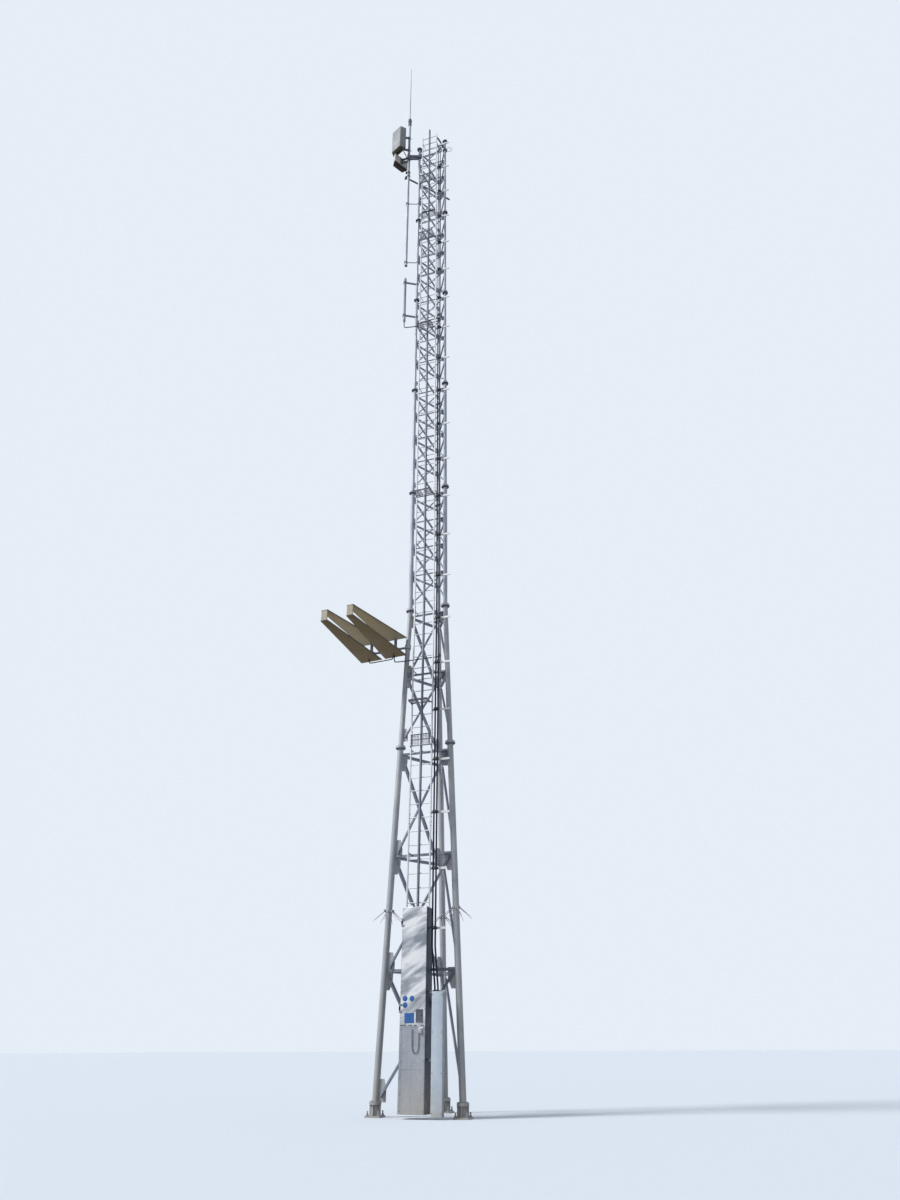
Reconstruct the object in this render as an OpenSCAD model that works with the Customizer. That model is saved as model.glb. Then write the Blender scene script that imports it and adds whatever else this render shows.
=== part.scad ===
// Triangular lattice tower on three flanged tube legs, with its ladder,
// ladder guard, feeder run and antennas.
// The origin is the middle of the left foot's underside at ground level.
// X runs along the ladder face to the right leg, Y runs into the tower, Z is up.

/* [Tower] */
// Height of the foot under the first leg flange
foot_h = 200; // [180:5:240]
// Height of the splayed bottom section
base_h = 6000; // [5400:100:6600]
// Height of every section above the bottom one
section_h = 3000; // [2700:50:3300]
// Number of upright sections in the shaft
shaft_sections = 5; // [3:1:6]
// Spacing of the leg axes at the feet
foot_side = 1500; // [1350:10:1700]
// Spacing of the leg axes in the upright shaft
shaft_side = 775; // [720:5:860]

/* [Legs] */
// Outside diameter of the bottom leg tube
leg_d_base = 114.3; // [101.6:0.1:127]
// Outside diameter of the tapered section's leg tube
leg_d_taper = 101.6; // [95:0.1:110]
// Outside diameter of the first upright leg tube
leg_d_first = 88.9; // [82:0.1:95]
// Outside diameter of the second upright leg tube
leg_d_second = 76.1; // [70:0.1:82]
// Outside diameter of the slim leg tubes above
leg_d_slim = 60.3; // [54:0.1:68]
// Wall of the leg tubes
leg_wall = 5; // [3.5:0.5:8]
// How far a flange stands out past its tube
flange_rim = 42; // [34:1:54]
// Thickness of one flange
flange_t = 22; // [16:1:30]
// Gap between two flange faces that are bolted together
flange_gap = 0.3; // [0.2:0.05:0.8]

/* [Feet] */
// Side of the square base plate
base_plate = 260; // [235:5:300]
// Thickness of the base plate
base_plate_t = 25; // [18:1:36]
// Spacing of the anchor bolts
anchor_pitch = 190; // [175:5:200]
// Diameter of an anchor bolt hole
anchor_hole = 28; // [20:1:32]

/* [Bracing] */
// Width of the angle bars in the bottom section
angle_base = 50; // [40:1:60]
// Width of the angle bars in the tapered section
angle_taper = 45; // [38:1:55]
// Width of the angle bars in the shaft
angle_shaft = 32; // [26:1:40]
// Thickness of the angle bars
angle_t = 5; // [3:0.5:7]
// Number of panels in the bottom section
panels_base = 3; // [2:1:4]
// Number of panels in the tapered section
panels_taper = 2; // [2:1:3]
// Number of panels in one shaft section
panels_shaft = 4; // [3:1:5]
// Distance from a flange to the nearest bracing level
level_margin = 150; // [120:5:200]
// Distance from the foot flange to the lowest bracing level
foot_margin = 45; // [42:1:70]
// Clear space between a leg tube and the end of an angle bar
bar_room = 6; // [3:0.5:12]
// How far a gusset plate reaches past the edge of its bar
gusset_edge = 10; // [6:1:16]
// Thickness of the gusset plates
gusset_t = 8; // [5:0.5:12]
// Height of the gusset plates in the bottom section
gusset_h_base = 300; // [240:10:340]
// Height of the gusset plates in the tapered section
gusset_h_taper = 230; // [190:10:260]
// Height of the gusset plates in the shaft
gusset_h_shaft = 120; // [100:5:150]
// Width of the bottom gusset plates beside the tube
gusset_w_base = 125; // [110:5:140]
// Width of the tapered section's gusset plates beside the tube
gusset_w_taper = 85; // [75:5:105]
// Width of the shaft's gusset plates beside the tube
gusset_w_shaft = 62; // [55:1:75]

/* [Ladder] */
// Spacing of the two ladder stringers, centre to centre
ladder_w = 420; // [380:5:460]
// Distance from the leg axes' plane to the ladder's plane
ladder_out = 210; // [190:5:240]
// Width of a stringer across the ladder
stringer_w = 20; // [14:1:28]
// Depth of a stringer
stringer_d = 40; // [32:1:50]
// Diameter of a rung
rung_d = 20; // [16:1:26]
// Spacing of the rungs
rung_pitch = 250; // [240:5:280]
// How far the stringers rise above the leg tops
ladder_rise = 140; // [60:10:240]
// How far the fall arrest rail rises above the stringers
rail_rise = 250; // [100:10:400]
// Width of the fall arrest rail
rail_w = 50; // [36:1:60]
// Depth of the fall arrest rail
rail_d = 30; // [22:1:34]
// Wall of the fall arrest rail
rail_wall = 4; // [2.5:0.5:6]
// Height of a ladder bracket bar
bracket_h = 30; // [22:1:34]
// Thickness of a ladder bracket bar
bracket_t = 6; // [4:0.5:9]

/* [Rest platforms] */
// Heights of the folding foot plates' hinges
platform_z = [6110, 6980, 11900, 16840, 20090, 20870, 22350];
// Which foot plates are folded up, 1 for up and 0 for down
platform_up = [1, 0, 0, 0, 0, 1, 0];
// Length of a foot plate from its hinge
plate_l = 220; // [160:5:260]
// Width of one foot plate
plate_w = 155; // [140:5:160]
// Clear space between a foot plate and the ladder's centre line
plate_inset = 34; // [30:1:40]
// Thickness of a foot plate with its rim
plate_t = 12; // [8:1:16]
// Diameter of the hinge rod
hinge_rod_d = 16; // [12:1:20]
// Clearance around the hinge rod in its lug
hinge_play = 0.3; // [0.2:0.05:0.5]
// Distance from the ladder's plane to the hinge rod
hinge_out = 56; // [54:1:64]
// Thickness of a hinge lug
lug_t = 10; // [8:1:14]

/* [Ladder guard] */
// Height of the guard door's lower edge
guard_door_z = 1320; // [1200:10:1400]
// Height of the guard's upper edge
guard_top_z = 3160; // [3000:10:3400]
// Height of the guard's lower edge
guard_low_z = 60; // [40:5:120]
// Distance from the leg axes' plane to the guard's front sheet
guard_out = 350; // [330:5:380]
// Depth of the guard's side sheets
guard_depth = 290; // [250:5:300]
// Thickness of the guard's sheets
guard_sheet = 4; // [2:0.5:6]
// Gap between the door and the sheets around it
guard_gap = 8; // [6:1:12]
// Depth of the door's frame
door_frame_d = 26; // [20:1:34]
// Width of the door's frame
door_frame_w = 30; // [22:1:40]
// Diameter of the door's hinge pin
door_pin_d = 12; // [10:0.5:16]

/* [Feeder run] */
// Diameter of a feeder cable
cable_d = 22; // [16:1:24]
// Spacing of the cables in the run
cable_pitch = 54; // [50:1:58]
// Spacing of the two rows of cables
cable_row_pitch = 30; // [28:1:34]
// Distance from the ladder's centre line to the first cable
cable_x = 285; // [282:1:290]
// How far the cables step aside to enter the cover
cable_shift = 58; // [56:1:62]
// Spacing of the cable bars
cable_bar_pitch = 1000; // [900:10:1100]
// Height of the first cable bar
cable_bar_z = 820; // [780:10:860]
// Length of a cable bar
cable_bar_l = 350; // [320:5:380]
// Length of the short cable bars near the ground
cable_bar_short = 290; // [285:5:300]
// Height up to which the cable bars are the short ones
cable_bar_switch = 4500; // [4200:50:4700]
// Height of a cable bar's section
cable_bar_h = 40; // [30:1:46]
// Thickness of a cable bar
cable_bar_t = 4; // [3:0.5:6]
// Distance from the ladder's centre line to the cable cover
cover_x = 312; // [308:1:316]
// Width of the cable cover
cover_w = 195; // [185:5:205]
// Depth of the cable cover
cover_d = 95; // [88:1:110]
// Height of the cable cover's upper edge
cover_top_z = 1820; // [1800:5:1835]
// Height of the cable cover's lower edge
cover_low_z = 30; // [20:5:60]
// Thickness of the cable cover's sheet
cover_sheet = 3; // [2:0.5:4]
// Distance from the leg tops down to where the upper cables leave the run
crossing_drop = 500; // [490:5:510]
// Distance from the leg axes' plane to the cables that cross behind the ladder
cross_out = 95; // [92:1:110]

/* [Climbing guard collars] */
// Height of the spiked collars
collar_z = 3170; // [2900:10:3400]
// Number of prongs on one collar
collar_prongs = 8; // [6:1:12]
// Length of a prong
collar_reach = 300; // [240:5:320]
// Diameter of a prong
prong_d = 14; // [10:1:18]
// Slope of the prongs below the level, in degrees
prong_slope = 40; // [30:1:50]

/* [Antenna pole] */
// Diameter of the antenna pole
pole_d = 70; // [60:1:80]
// Distance from the left leg to the antenna pole
pole_reach = 305; // [280:5:340]
// Direction of the pole from the left leg, in degrees from X
pole_bearing = 200; // [195:1:205]
// Distance from the leg tops down to the pole's lower end
pole_drop = 4740; // [4700:10:4800]
// Distance from the leg tops up to the pole's upper end
pole_rise = 1050; // [1000:10:1200]
// Length of the whip antenna with its base
whip_l = 2780; // [2400:10:3000]
// Diameter of the whip antenna
whip_d = 20; // [14:1:28]
// Diameter of the whip's base
whip_base_d = 110; // [90:1:120]
// Height of the whip's base
whip_base_h = 330; // [280:10:380]
// Distances from the leg tops down to the pole's thin clamp arms
pole_arm_drop = [4640, 2340];
// Distance from the leg tops down to the pole's double arm
pole_double_drop = 360; // [355:5:370]
// Distance from the middle of the double arm to each of its bars
pole_double_half = 55; // [52:1:58]

/* [Panel antennas] */
// Width of a panel antenna's front
panel_front = 335; // [310:5:360]
// Width of a panel antenna's back
panel_back = 460; // [430:5:480]
// Depth of a panel antenna
panel_depth = 180; // [160:5:200]
// Depth of a panel antenna's straight rim
panel_rim = 40; // [30:1:50]
// Height of the upper panel antenna
panel_upper_h = 900; // [860:10:940]
// Height of the lower panel antenna
panel_lower_h = 340; // [300:5:345]
// Distance from the leg tops down to the upper panel antenna's underside
panel_upper_drop = 240; // [200:10:250]
// Distance from the leg tops down to the lower panel antenna's underside
panel_lower_drop = 600; // [590:5:610]
// Direction that the upper panel antenna faces, in degrees from X
panel_upper_bearing = 246; // [243:1:249]
// Direction that the lower panel antenna faces, in degrees from X
panel_lower_bearing = 150; // [147:1:153]
// Distance from the pole to a panel antenna's back
panel_standoff = 165; // [155:5:175]
// How far the upper panel antenna sits to the left of its clamps, seen from the front
panel_upper_shift = 160; // [150:5:170]
// How far the lower panel antenna sits to the right of its clamps, seen from the front
panel_lower_shift = 114; // [104:5:124]

/* [Tube antenna] */
// Diameter of the tube antenna
tube_d = 66; // [56:1:76]
// Distance from the left leg to the tube antenna
tube_reach = 311; // [290:5:340]
// Direction of the tube antenna from the left leg, in degrees from X
tube_bearing = 210; // [205:1:215]
// Distance from the leg tops down to the tube antenna's lower end
tube_drop = 6800; // [6750:10:6850]
// Length of the tube antenna
tube_l = 1510; // [1450:10:1560]

/* [Cross boom] */
// Diameter of the cross boom
boom_d = 48; // [40:1:60]
// Distance from the leg tops down to the cross boom
boom_drop = 1190; // [1170:5:1210]
// How far the boom reaches past the antenna pole
boom_left = 65; // [50:5:90]
// How far the boom reaches past the rear leg
boom_right = 360; // [300:5:420]

/* [Log antennas] */
// Length of a log antenna
log_l = 1930; // [1700:10:2100]
// Width of a log antenna at its back
log_back_w = 470; // [430:5:500]
// Width of a log antenna at its tip
log_tip_w = 130; // [110:5:160]
// Height between the two fins at the back
log_back_h = 390; // [340:5:430]
// Height between the two fins at the tip
log_tip_h = 210; // [180:5:240]
// Thickness of a fin
log_fin_t = 24; // [16:1:32]
// Distance from the top of the tapered section down to the log antennas' axis
log_drop = 850; // [800:10:900]
// Direction that the log antennas point, in degrees from X
log_bearing = 265; // [262:1:268]
// Distance from the leg to the nearer log antenna's axis
log_near = 240; // [236:1:250]
// Spacing of the two log antennas
log_pitch = 560; // [530:5:600]
// Diameter of the log antennas' support tube
log_tube_d = 48; // [42:1:56]

/* [Hidden] */

$fn = 48;
eps = 0.01;
axis_x = foot_side / 2;
axis_y = foot_side / (2 * sqrt(3));
knee_z = foot_h + base_h + section_h;
top_z = knee_z + shaft_sections * section_h;
splay = (foot_side - shaft_side) / (knee_z - foot_h);
// Heights of what is clamped to the legs
pole_low_z = top_z - pole_drop;
pole_top_z = top_z + pole_rise;
pole_arm_z = [for (drop = pole_arm_drop) top_z - drop];
pole_double_z = top_z - pole_double_drop;
panel_upper_z = top_z - panel_upper_drop;
panel_lower_z = top_z - panel_lower_drop;
tube_low_z = top_z - tube_drop;
boom_z = top_z - boom_drop;
log_z = knee_z - log_drop;
// Lean of the lower legs towards the axis, and of the lower faces
leg_lean = atan(splay / sqrt(3));
face_lean = atan(splay / (2 * sqrt(3)));
leg_angle = [210, 330, 90];
lower_edges = [foot_h, foot_h + base_h, knee_z];
shaft_edges = [for (i = [0 : shaft_sections]) knee_z + i * section_h];

// Leg spacing, radius from the axis and place at a height
function side_at(z) = z >= knee_z ? shaft_side : shaft_side + splay * (knee_z - z);
function radius_at(z) = side_at(z) / sqrt(3);
function leg_at(k, z) = [axis_x + radius_at(z) * cos(leg_angle[k]),
                         axis_y + radius_at(z) * sin(leg_angle[k]), z];
function shaft_leg_d(i) = i == 0 ? leg_d_first : i == 1 ? leg_d_second : leg_d_slim;
function leg_d_at(z) = z < foot_h + base_h ? leg_d_base : z < knee_z ? leg_d_taper
    : shaft_leg_d(floor((z - knee_z) / section_h));
// Length along the lean that covers a rise
function leaned(rise, z, lean) = z < knee_z ? rise / cos(lean) : rise;

// Place of a log antenna's back, beside the left leg
log_stand = 75;
log_side = log_bearing - 90;
log_tilt = atan((log_back_h - log_tip_h) / 2 / log_l);
function log_root(i) = leg_at(0, log_z)
    + (log_near + i * log_pitch) * [cos(log_side), sin(log_side), 0]
    + log_stand * [cos(log_bearing), sin(log_bearing), 0];

// Bracing levels of one section, from its lowest to its highest
function levels(z0, z1, count, low) =
    [for (i = [0 : count]) z0 + low + (z1 - z0 - low - level_margin) * i / count];
base_levels = levels(foot_h, foot_h + base_h, panels_base, foot_margin);
taper_levels = levels(foot_h + base_h, knee_z, panels_taper, level_margin);
function shaft_levels(i) = levels(shaft_edges[i], shaft_edges[i + 1], panels_shaft, level_margin);

// Place children on a leg's axis, with their Z along the leg
module on_leg(k, z) {
    translate(leg_at(k, z)) rotate([0, 0, leg_angle[k]])
        rotate([0, z < knee_z ? -leg_lean : 0, 0]) children();
}

// Place children on a face's middle line: X along the face, Y up it, Z outwards
module on_face(k, z) {
    translate([axis_x, axis_y, 0]) rotate([0, 0, 120 * k])
        translate([0, -side_at(z) / (2 * sqrt(3)), z])
            rotate([z < knee_z ? 90 - face_lean : 90, 0, 0]) children();
}

module ring(inner_r, outer_r, h) {
    difference() {
        cylinder(h = h, r = outer_r, center = true);
        cylinder(h = h + 2, r = inner_r, center = true);
    }
}

// Feet
module foot(k) {
    stub_r = leg_d_base / 2;
    p = leg_at(k, foot_h);
    color("silver") translate([p.x, p.y, 0]) {
        difference() {
            translate([-base_plate / 2, -base_plate / 2, 0])
                cube([base_plate, base_plate, base_plate_t]);
            for (x = [-1, 1], y = [-1, 1])
                translate([x * anchor_pitch / 2, y * anchor_pitch / 2, -1])
                    cylinder(h = base_plate_t + 2, d = anchor_hole);
        }
        difference() {
            union() {
                translate([0, 0, base_plate_t - eps])
                    cylinder(h = foot_h - flange_t - base_plate_t + 2 * eps, r = stub_r);
                translate([0, 0, foot_h - flange_t - flange_gap])
                    cylinder(h = flange_t, r = stub_r + flange_rim);
                for (a = [0 : 90 : 270]) rotate([0, 0, a]) foot_rib(stub_r);
            }
            translate([0, 0, base_plate_t])
                cylinder(h = foot_h - flange_t - base_plate_t - flange_gap, r = stub_r - leg_wall);
        }
    }
}

module foot_rib(stub_r) {
    rib_top = foot_h - flange_t - flange_gap;
    translate([0, gusset_t / 2, base_plate_t - eps]) rotate([90, 0, 0])
        linear_extrude(gusset_t)
            polygon([[stub_r - leg_wall / 2, 0], [stub_r + flange_rim, 0],
                     [stub_r + flange_rim, rib_top - base_plate_t],
                     [stub_r - leg_wall / 2, rib_top - base_plate_t]]);
}

// Legs
module leg_section(k, z0, z1, d) {
    lift = flange_gap;
    length = leaned(z1 - z0 - lift, z0, leg_lean);
    difference() {
        union() {
            on_leg(k, z0) translate([0, 0, flange_t / 2])
                cylinder(h = length - flange_t, d = d);
            for (z = [z0, z1 - flange_t - lift])
                translate(leg_at(k, z + flange_t / 2)) translate([0, 0, -flange_t / 2])
                    cylinder(h = flange_t, r = d / 2 + flange_rim);
            children();
        }
        on_leg(k, z0) translate([0, 0, flange_t + 2])
            cylinder(h = length - 2 * flange_t - 4, d = d - 2 * leg_wall);
    }
}

// Gusset plates of one leg: above each level on the face that starts at it,
// and below each level on the face that ends at it
module leg_gussets(k, stops, d, h, w, bar) {
    last = len(stops) - 1;
    for (i = [0 : last - 1]) {
        gusset(k, stops[i], d, h, w, bar, 1);
        gusset((k + 2) % 3, stops[i + 1], d, h, w, bar, -1);
    }
}

module gusset(face, z, d, h, w, bar, up) {
    edge = bar / 2 + gusset_edge;
    half = side_at(z) / 2;
    far = side_at(z + up * h) / 2;
    near = side_at(z - up * edge) / 2;
    inner = d / 2 + w;
    on_face(face, z) scale_x(-up) translate([0, 0, -gusset_t / 2]) linear_extrude(gusset_t)
        polygon([[near, -up * edge], [near - inner, -up * edge],
                 [half - inner, up * h * 0.45], [far - inner * 0.72, up * h], [far, up * h]]);
}

module scale_x(side) {
    if (side > 0) children();
    else mirror([1, 0, 0]) children();
}

module leg_lower(k) {
    color("silver") {
        leg_section(k, foot_h, foot_h + base_h, leg_d_base)
            leg_gussets(k, base_levels, leg_d_base, gusset_h_base, gusset_w_base, angle_base);
        leg_section(k, foot_h + base_h, knee_z, leg_d_taper)
            leg_gussets(k, taper_levels, leg_d_taper, gusset_h_taper, gusset_w_taper, angle_taper);
    }
}

module leg_shaft(k) {
    color("silver") for (i = [0 : shaft_sections - 1])
        leg_section(k, shaft_edges[i], shaft_edges[i + 1], shaft_leg_d(i))
            leg_gussets(k, shaft_levels(i), shaft_leg_d(i), gusset_h_shaft, gusset_w_shaft, angle_shaft);
}

// Bracing
module angle_bar(from, to, size) {
    run = to - from;
    translate([from.x, from.y, gusset_t / 2]) rotate([0, 0, atan2(run.y, run.x)])
        rotate([90, 0, 90]) linear_extrude(norm(run))
            polygon([[-size / 2, 0], [size / 2, 0], [size / 2, angle_t], [-size / 2 + angle_t, angle_t],
                     [-size / 2 + angle_t, size], [-size / 2, size]]);
}

module panel(k, z0, z1, d, size) {
    low = side_at(z0) / 2 - d / 2;
    high = side_at(z1) / 2 - d / 2;
    rise = leaned(z1 - z0, z0, face_lean);
    slope = atan2(rise - 2 * size, low + high - size);
    dx = bar_room + size / 2 * sin(slope);
    dy = size / 2 + bar_room + size / 2 * cos(slope);
    on_face(k, z0) {
        angle_bar([-high + bar_room, rise], [high - bar_room, rise], size);
        angle_bar([-low + dx, dy], [high - dx, rise - dy], size);
    }
}

module section_bracing(k, stops, d, size) {
    for (i = [0 : len(stops) - 2]) panel(k, stops[i], stops[i + 1], d, size);
}

module bracing_lower(k) {
    color("dimgray") {
        section_bracing(k, base_levels, leg_d_base, angle_base);
        section_bracing(k, taper_levels, leg_d_taper, angle_taper);
    }
}

module bracing_shaft(k) {
    color("dimgray") for (i = [0 : shaft_sections - 1])
        section_bracing(k, shaft_levels(i), shaft_leg_d(i), angle_shaft);
}

// Ladder
ladder_low = guard_low_z;
ladder_top = top_z + ladder_rise;
stringer_x = ladder_w / 2;
rung_front = ladder_out + rung_d / 2;

module stringers(z, length) {
    on_face(0, z) for (s = [-1, 1])
        translate([s * stringer_x - stringer_w / 2, 0, ladder_out - stringer_d / 2])
            cube([stringer_w, length, stringer_d]);
}

module rungs(z_from, z_to) {
    first = ceil((z_from + rung_d) / rung_pitch);
    last = floor((z_to - rung_d) / rung_pitch);
    for (i = [first : last]) on_face(0, i * rung_pitch)
        translate([-stringer_x, 0, ladder_out]) rotate([0, 90, 0])
            cylinder(h = ladder_w, d = rung_d, $fn = 8);
}

module ladder_lower() {
    color("lightgray") {
        stringers(ladder_low, leaned(knee_z - ladder_low, 0, face_lean) - 6);
        rungs(ladder_low, knee_z - 20);
    }
}

module ladder_shaft() {
    color("lightgray") {
        stringers(knee_z, ladder_top - knee_z);
        rungs(knee_z, ladder_top);
    }
}

module rail_piece(z, length) {
    on_face(0, z) translate([0, 0, rung_front]) rotate([-90, 0, 0]) translate([0, -rail_d, 0])
        linear_extrude(length) union() {
            translate([-rail_w / 2, rail_d - rail_wall]) square([rail_w, rail_wall]);
            translate([-rail_wall / 2, 0]) square([rail_wall, rail_d]);
            translate([-rail_w / 4, 0]) square([rail_w / 2, rail_wall]);
        }
}

module fall_arrest_rail() {
    color("gray") {
        rail_piece(ladder_low, leaned(knee_z - ladder_low, 0, face_lean) - 6);
        rail_piece(knee_z, ladder_top + rail_rise - knee_z);
    }
}

module ladder_bracket(z, size) {
    reach = ladder_out + stringer_d / 4 - gusset_t / 2 - angle_t;
    on_face(0, z) for (s = [-1, 1])
        translate([s * (stringer_x - stringer_w / 2 - bracket_t / 2) - bracket_t / 2,
                   -size / 2 + angle_t, gusset_t / 2 + angle_t])
            cube([bracket_t, bracket_h, reach]);
}

module ladder_brackets() {
    color("dimgray") {
        for (i = [1 : panels_base]) ladder_bracket(base_levels[i], angle_base);
        for (i = [1 : panels_taper]) ladder_bracket(taper_levels[i], angle_taper);
        for (i = [0 : shaft_sections - 1], j = [2, panels_shaft])
            ladder_bracket(shaft_levels(i)[j], angle_shaft);
    }
}

// Folding foot plates
hinge_z = ladder_out + hinge_out;
lug_x = stringer_x - stringer_w / 2 + lug_t / 2;

module platform_lugs() {
    front = ladder_out + stringer_d / 2;
    outer = hinge_rod_d / 2 + hinge_play + 7;
    color("dimgray") for (z = platform_z) on_face(0, z) for (s = [-1, 1])
        translate([s * lug_x - lug_t / 2, 0, 0]) difference() {
            union() {
                translate([0, 0, hinge_z]) rotate([0, 90, 0]) cylinder(h = lug_t, r = outer);
                translate([0, -outer, front]) cube([lug_t, 2 * outer, hinge_z - front]);
            }
            translate([-1, 0, hinge_z]) rotate([0, 90, 0])
                cylinder(h = lug_t + 2, r = hinge_rod_d / 2 + hinge_play);
        }
}

module platform(i) {
    color("slategray") on_face(0, platform_z[i]) translate([0, 0, hinge_z]) {
        rotate([0, 90, 0]) cylinder(h = 2 * (lug_x + lug_t / 2 + 8), d = hinge_rod_d, center = true);
        rotate([platform_up[i] ? -90 : 0, 0, 0]) for (s = [-1, 1])
            translate([s * (plate_inset + plate_w / 2) - plate_w / 2, -plate_t / 2, 0])
                cube([plate_w, plate_t, plate_l]);
    }
}

// Ladder guard
guard_x = stringer_x + stringer_w / 2;
door_pin_x = -guard_x - guard_sheet - door_pin_d / 2 - 3;
door_out = guard_out + guard_gap;
door_pin_z = door_out + door_pin_d / 2;

// A sheet on the front face's frame between two heights of the guard
module guard_box(x, z0, z1, out, w, d) {
    on_face(0, z0) translate([x, 0, out]) cube([w, leaned(z1 - z0, 0, face_lean), d]);
}

module guard_sides() {
    pin_h = 60;
    color("lightgray") {
        for (s = [0, 1])
            guard_box(s ? guard_x : -guard_x - guard_sheet, guard_low_z, guard_top_z,
                      guard_out - guard_depth, guard_sheet, guard_depth);
        // Hinge eyes of the door on the left sheet
        for (z = [guard_door_z + 250, guard_top_z - 250]) on_face(0, z) difference() {
            union() {
                translate([door_pin_x, -pin_h / 2, door_pin_z]) rotate([-90, 0, 0])
                    cylinder(h = pin_h, d = door_pin_d + 10);
                translate([door_pin_x, -pin_h / 2, guard_out - 40])
                    cube([-guard_x - guard_sheet - door_pin_x, pin_h, door_pin_z - guard_out + 40]);
            }
            translate([door_pin_x, -pin_h / 2 - 1, door_pin_z]) rotate([-90, 0, 0])
                cylinder(h = pin_h + 2, d = door_pin_d + 2 * hinge_play);
        }
    }
}

module guard_lower_panel() {
    front = ladder_out + stringer_d / 2;
    bar = 30;
    color("slategray") {
        guard_box(-guard_x, guard_low_z, guard_door_z - guard_gap, guard_out - guard_sheet,
                  2 * guard_x, guard_sheet);
        // Cross bars behind the sheet, on posts that stand on the ladder's stringers
        for (z = [guard_low_z + 200, guard_door_z - 200]) {
            guard_box(-guard_x, z, z + 40, guard_out - bar, 2 * guard_x, bar - guard_sheet + eps);
            for (x = [-guard_x, guard_x - stringer_w])
                guard_box(x, z, z + 40, front, stringer_w, guard_out - bar - front + eps);
        }
    }
}

module guard_door() {
    left = -guard_x + 4;
    right = guard_x + guard_sheet;
    inner = guard_x - guard_gap;
    h = leaned(guard_top_z - guard_door_z, 0, face_lean);
    pin_h = 40;
    color("white") {
        guard_box(left, guard_door_z, guard_top_z, door_out, right - left, guard_sheet);
        // Frame round the sheet's inner face
        on_face(0, guard_door_z) translate([0, 0, door_out - door_frame_d + eps]) difference() {
            translate([-inner, 0, 0]) cube([2 * inner, h, door_frame_d]);
            translate([-inner + door_frame_w, door_frame_w, -1])
                cube([2 * (inner - door_frame_w), h - 2 * door_frame_w, door_frame_d + 2]);
        }
        // Hinge pins with the arms that carry the door
        for (z = [guard_door_z + 250, guard_top_z - 250]) on_face(0, z) {
            translate([door_pin_x, -30 - pin_h, door_pin_z]) rotate([-90, 0, 0])
                cylinder(h = 60 + 2 * pin_h, d = door_pin_d);
            for (y = [-31 - pin_h, 31]) translate([door_pin_x, y, door_pin_z - door_pin_d / 2])
                cube([left - door_pin_x + 20, pin_h, door_pin_d]);
        }
    }
}

// Feeder run beside the ladder
cable_bar_count = floor((top_z - cable_bar_z) / cable_bar_pitch);
function cable_bar_height(i) = cable_bar_z + i * cable_bar_pitch;
function bar_start(z) = guard_x + (z < guard_top_z + cable_bar_h ? guard_sheet : 0);
bar_front = ladder_out + cable_bar_t / 2;
cable_rows = [for (i = [0, 1]) bar_front + 6 + cable_d / 2 + i * cable_row_pitch];
cleat_t = 50;
crossing_z = top_z - crossing_drop;
cleat_d = cable_rows[1] + cable_d / 2 + 6 - bar_front;
// Place of the first cable across the face: it steps aside below the cover's top
function cable_at(z) = cable_x + (z < cover_top_z + 50 ? cable_shift : 0);

module cable_bars() {
    color("white") for (i = [0 : cable_bar_count]) {
        z = cable_bar_height(i);
        start = bar_start(z);
        end = guard_x + (z < cable_bar_switch ? cable_bar_short : cable_bar_l);
        on_face(0, z) translate([start, -cable_bar_h / 2, ladder_out - cable_bar_t / 2]) {
            cube([end - start, cable_bar_h, cable_bar_t]);
            translate([0, 0, -16]) cube([end - start, cable_bar_t, 16 + eps]);
        }
    }
}

module cable_cleats() {
    color("black") for (i = [0 : floor((crossing_z - cable_bar_z) / cable_bar_pitch)])
        on_face(0, cable_bar_height(i)) difference() {
            translate([cable_at(cable_bar_height(i)) - cable_d / 2 - 8, -cleat_t / 2, bar_front])
                cube([cable_pitch + cable_d + 16, cleat_t, cleat_d]);
            for (x = [0, 1], row = cable_rows)
                translate([cable_at(cable_bar_height(i)) + x * cable_pitch, -cleat_t / 2 - 1, row])
                    rotate([-90, 0, 0]) cylinder(h = cleat_t + 2, d = cable_d + 2 * hinge_play);
        }
}

module cable_cover() {
    color("lightsteelblue") on_face(0, cover_low_z) translate([cover_x, 0, bar_front])
        difference() {
            cube([cover_w, leaned(cover_top_z - cover_low_z, 0, face_lean), cover_d]);
            translate([cover_sheet, -1, -1])
                cube([cover_w - 2 * cover_sheet, cover_top_z + 2, cover_d - cover_sheet + 1]);
        }
}

// A point of the ladder face's own frame: across, height and out from the leg axes
function face_point(x, z, out) =
    let (lean = z < knee_z ? face_lean : 0)
    [axis_x + x, axis_y - side_at(z) / (2 * sqrt(3)) - out * cos(lean), z + out * sin(lean)];

// Routes of the feeders, from inside the cover to the antenna that each one feeds
cable_end_z = 90;
pole_at = leg_at(0, top_z) + pole_reach * [cos(pole_bearing), sin(pole_bearing), 0];
tube_at = leg_at(0, top_z) + tube_reach * [cos(tube_bearing), sin(tube_bearing), 0];
pole_close = pole_d / 2 + cable_d / 2 + 0.3;
function by_pole(r, bearing, z) = [pole_at.x + r * cos(bearing), pole_at.y + r * sin(bearing), z];

// Up the run, back between ladder and bracing, and across in front of the left leg
function run_up(col, row, z) = let (x = cable_x + col * cable_pitch) concat(
    [for (h = [cable_end_z, cover_top_z + 60]) face_point(x + cable_shift, h, cable_rows[row])],
    [face_point(x, cover_top_z + 700, cable_rows[row])],
    z > knee_z ? [face_point(x, knee_z, cable_rows[row])] : [],
    [face_point(x, z, cable_rows[row]), face_point(x, z, cross_out),
     face_point(-side_at(z) / 2 + 50, z, cross_out)]);

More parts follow.
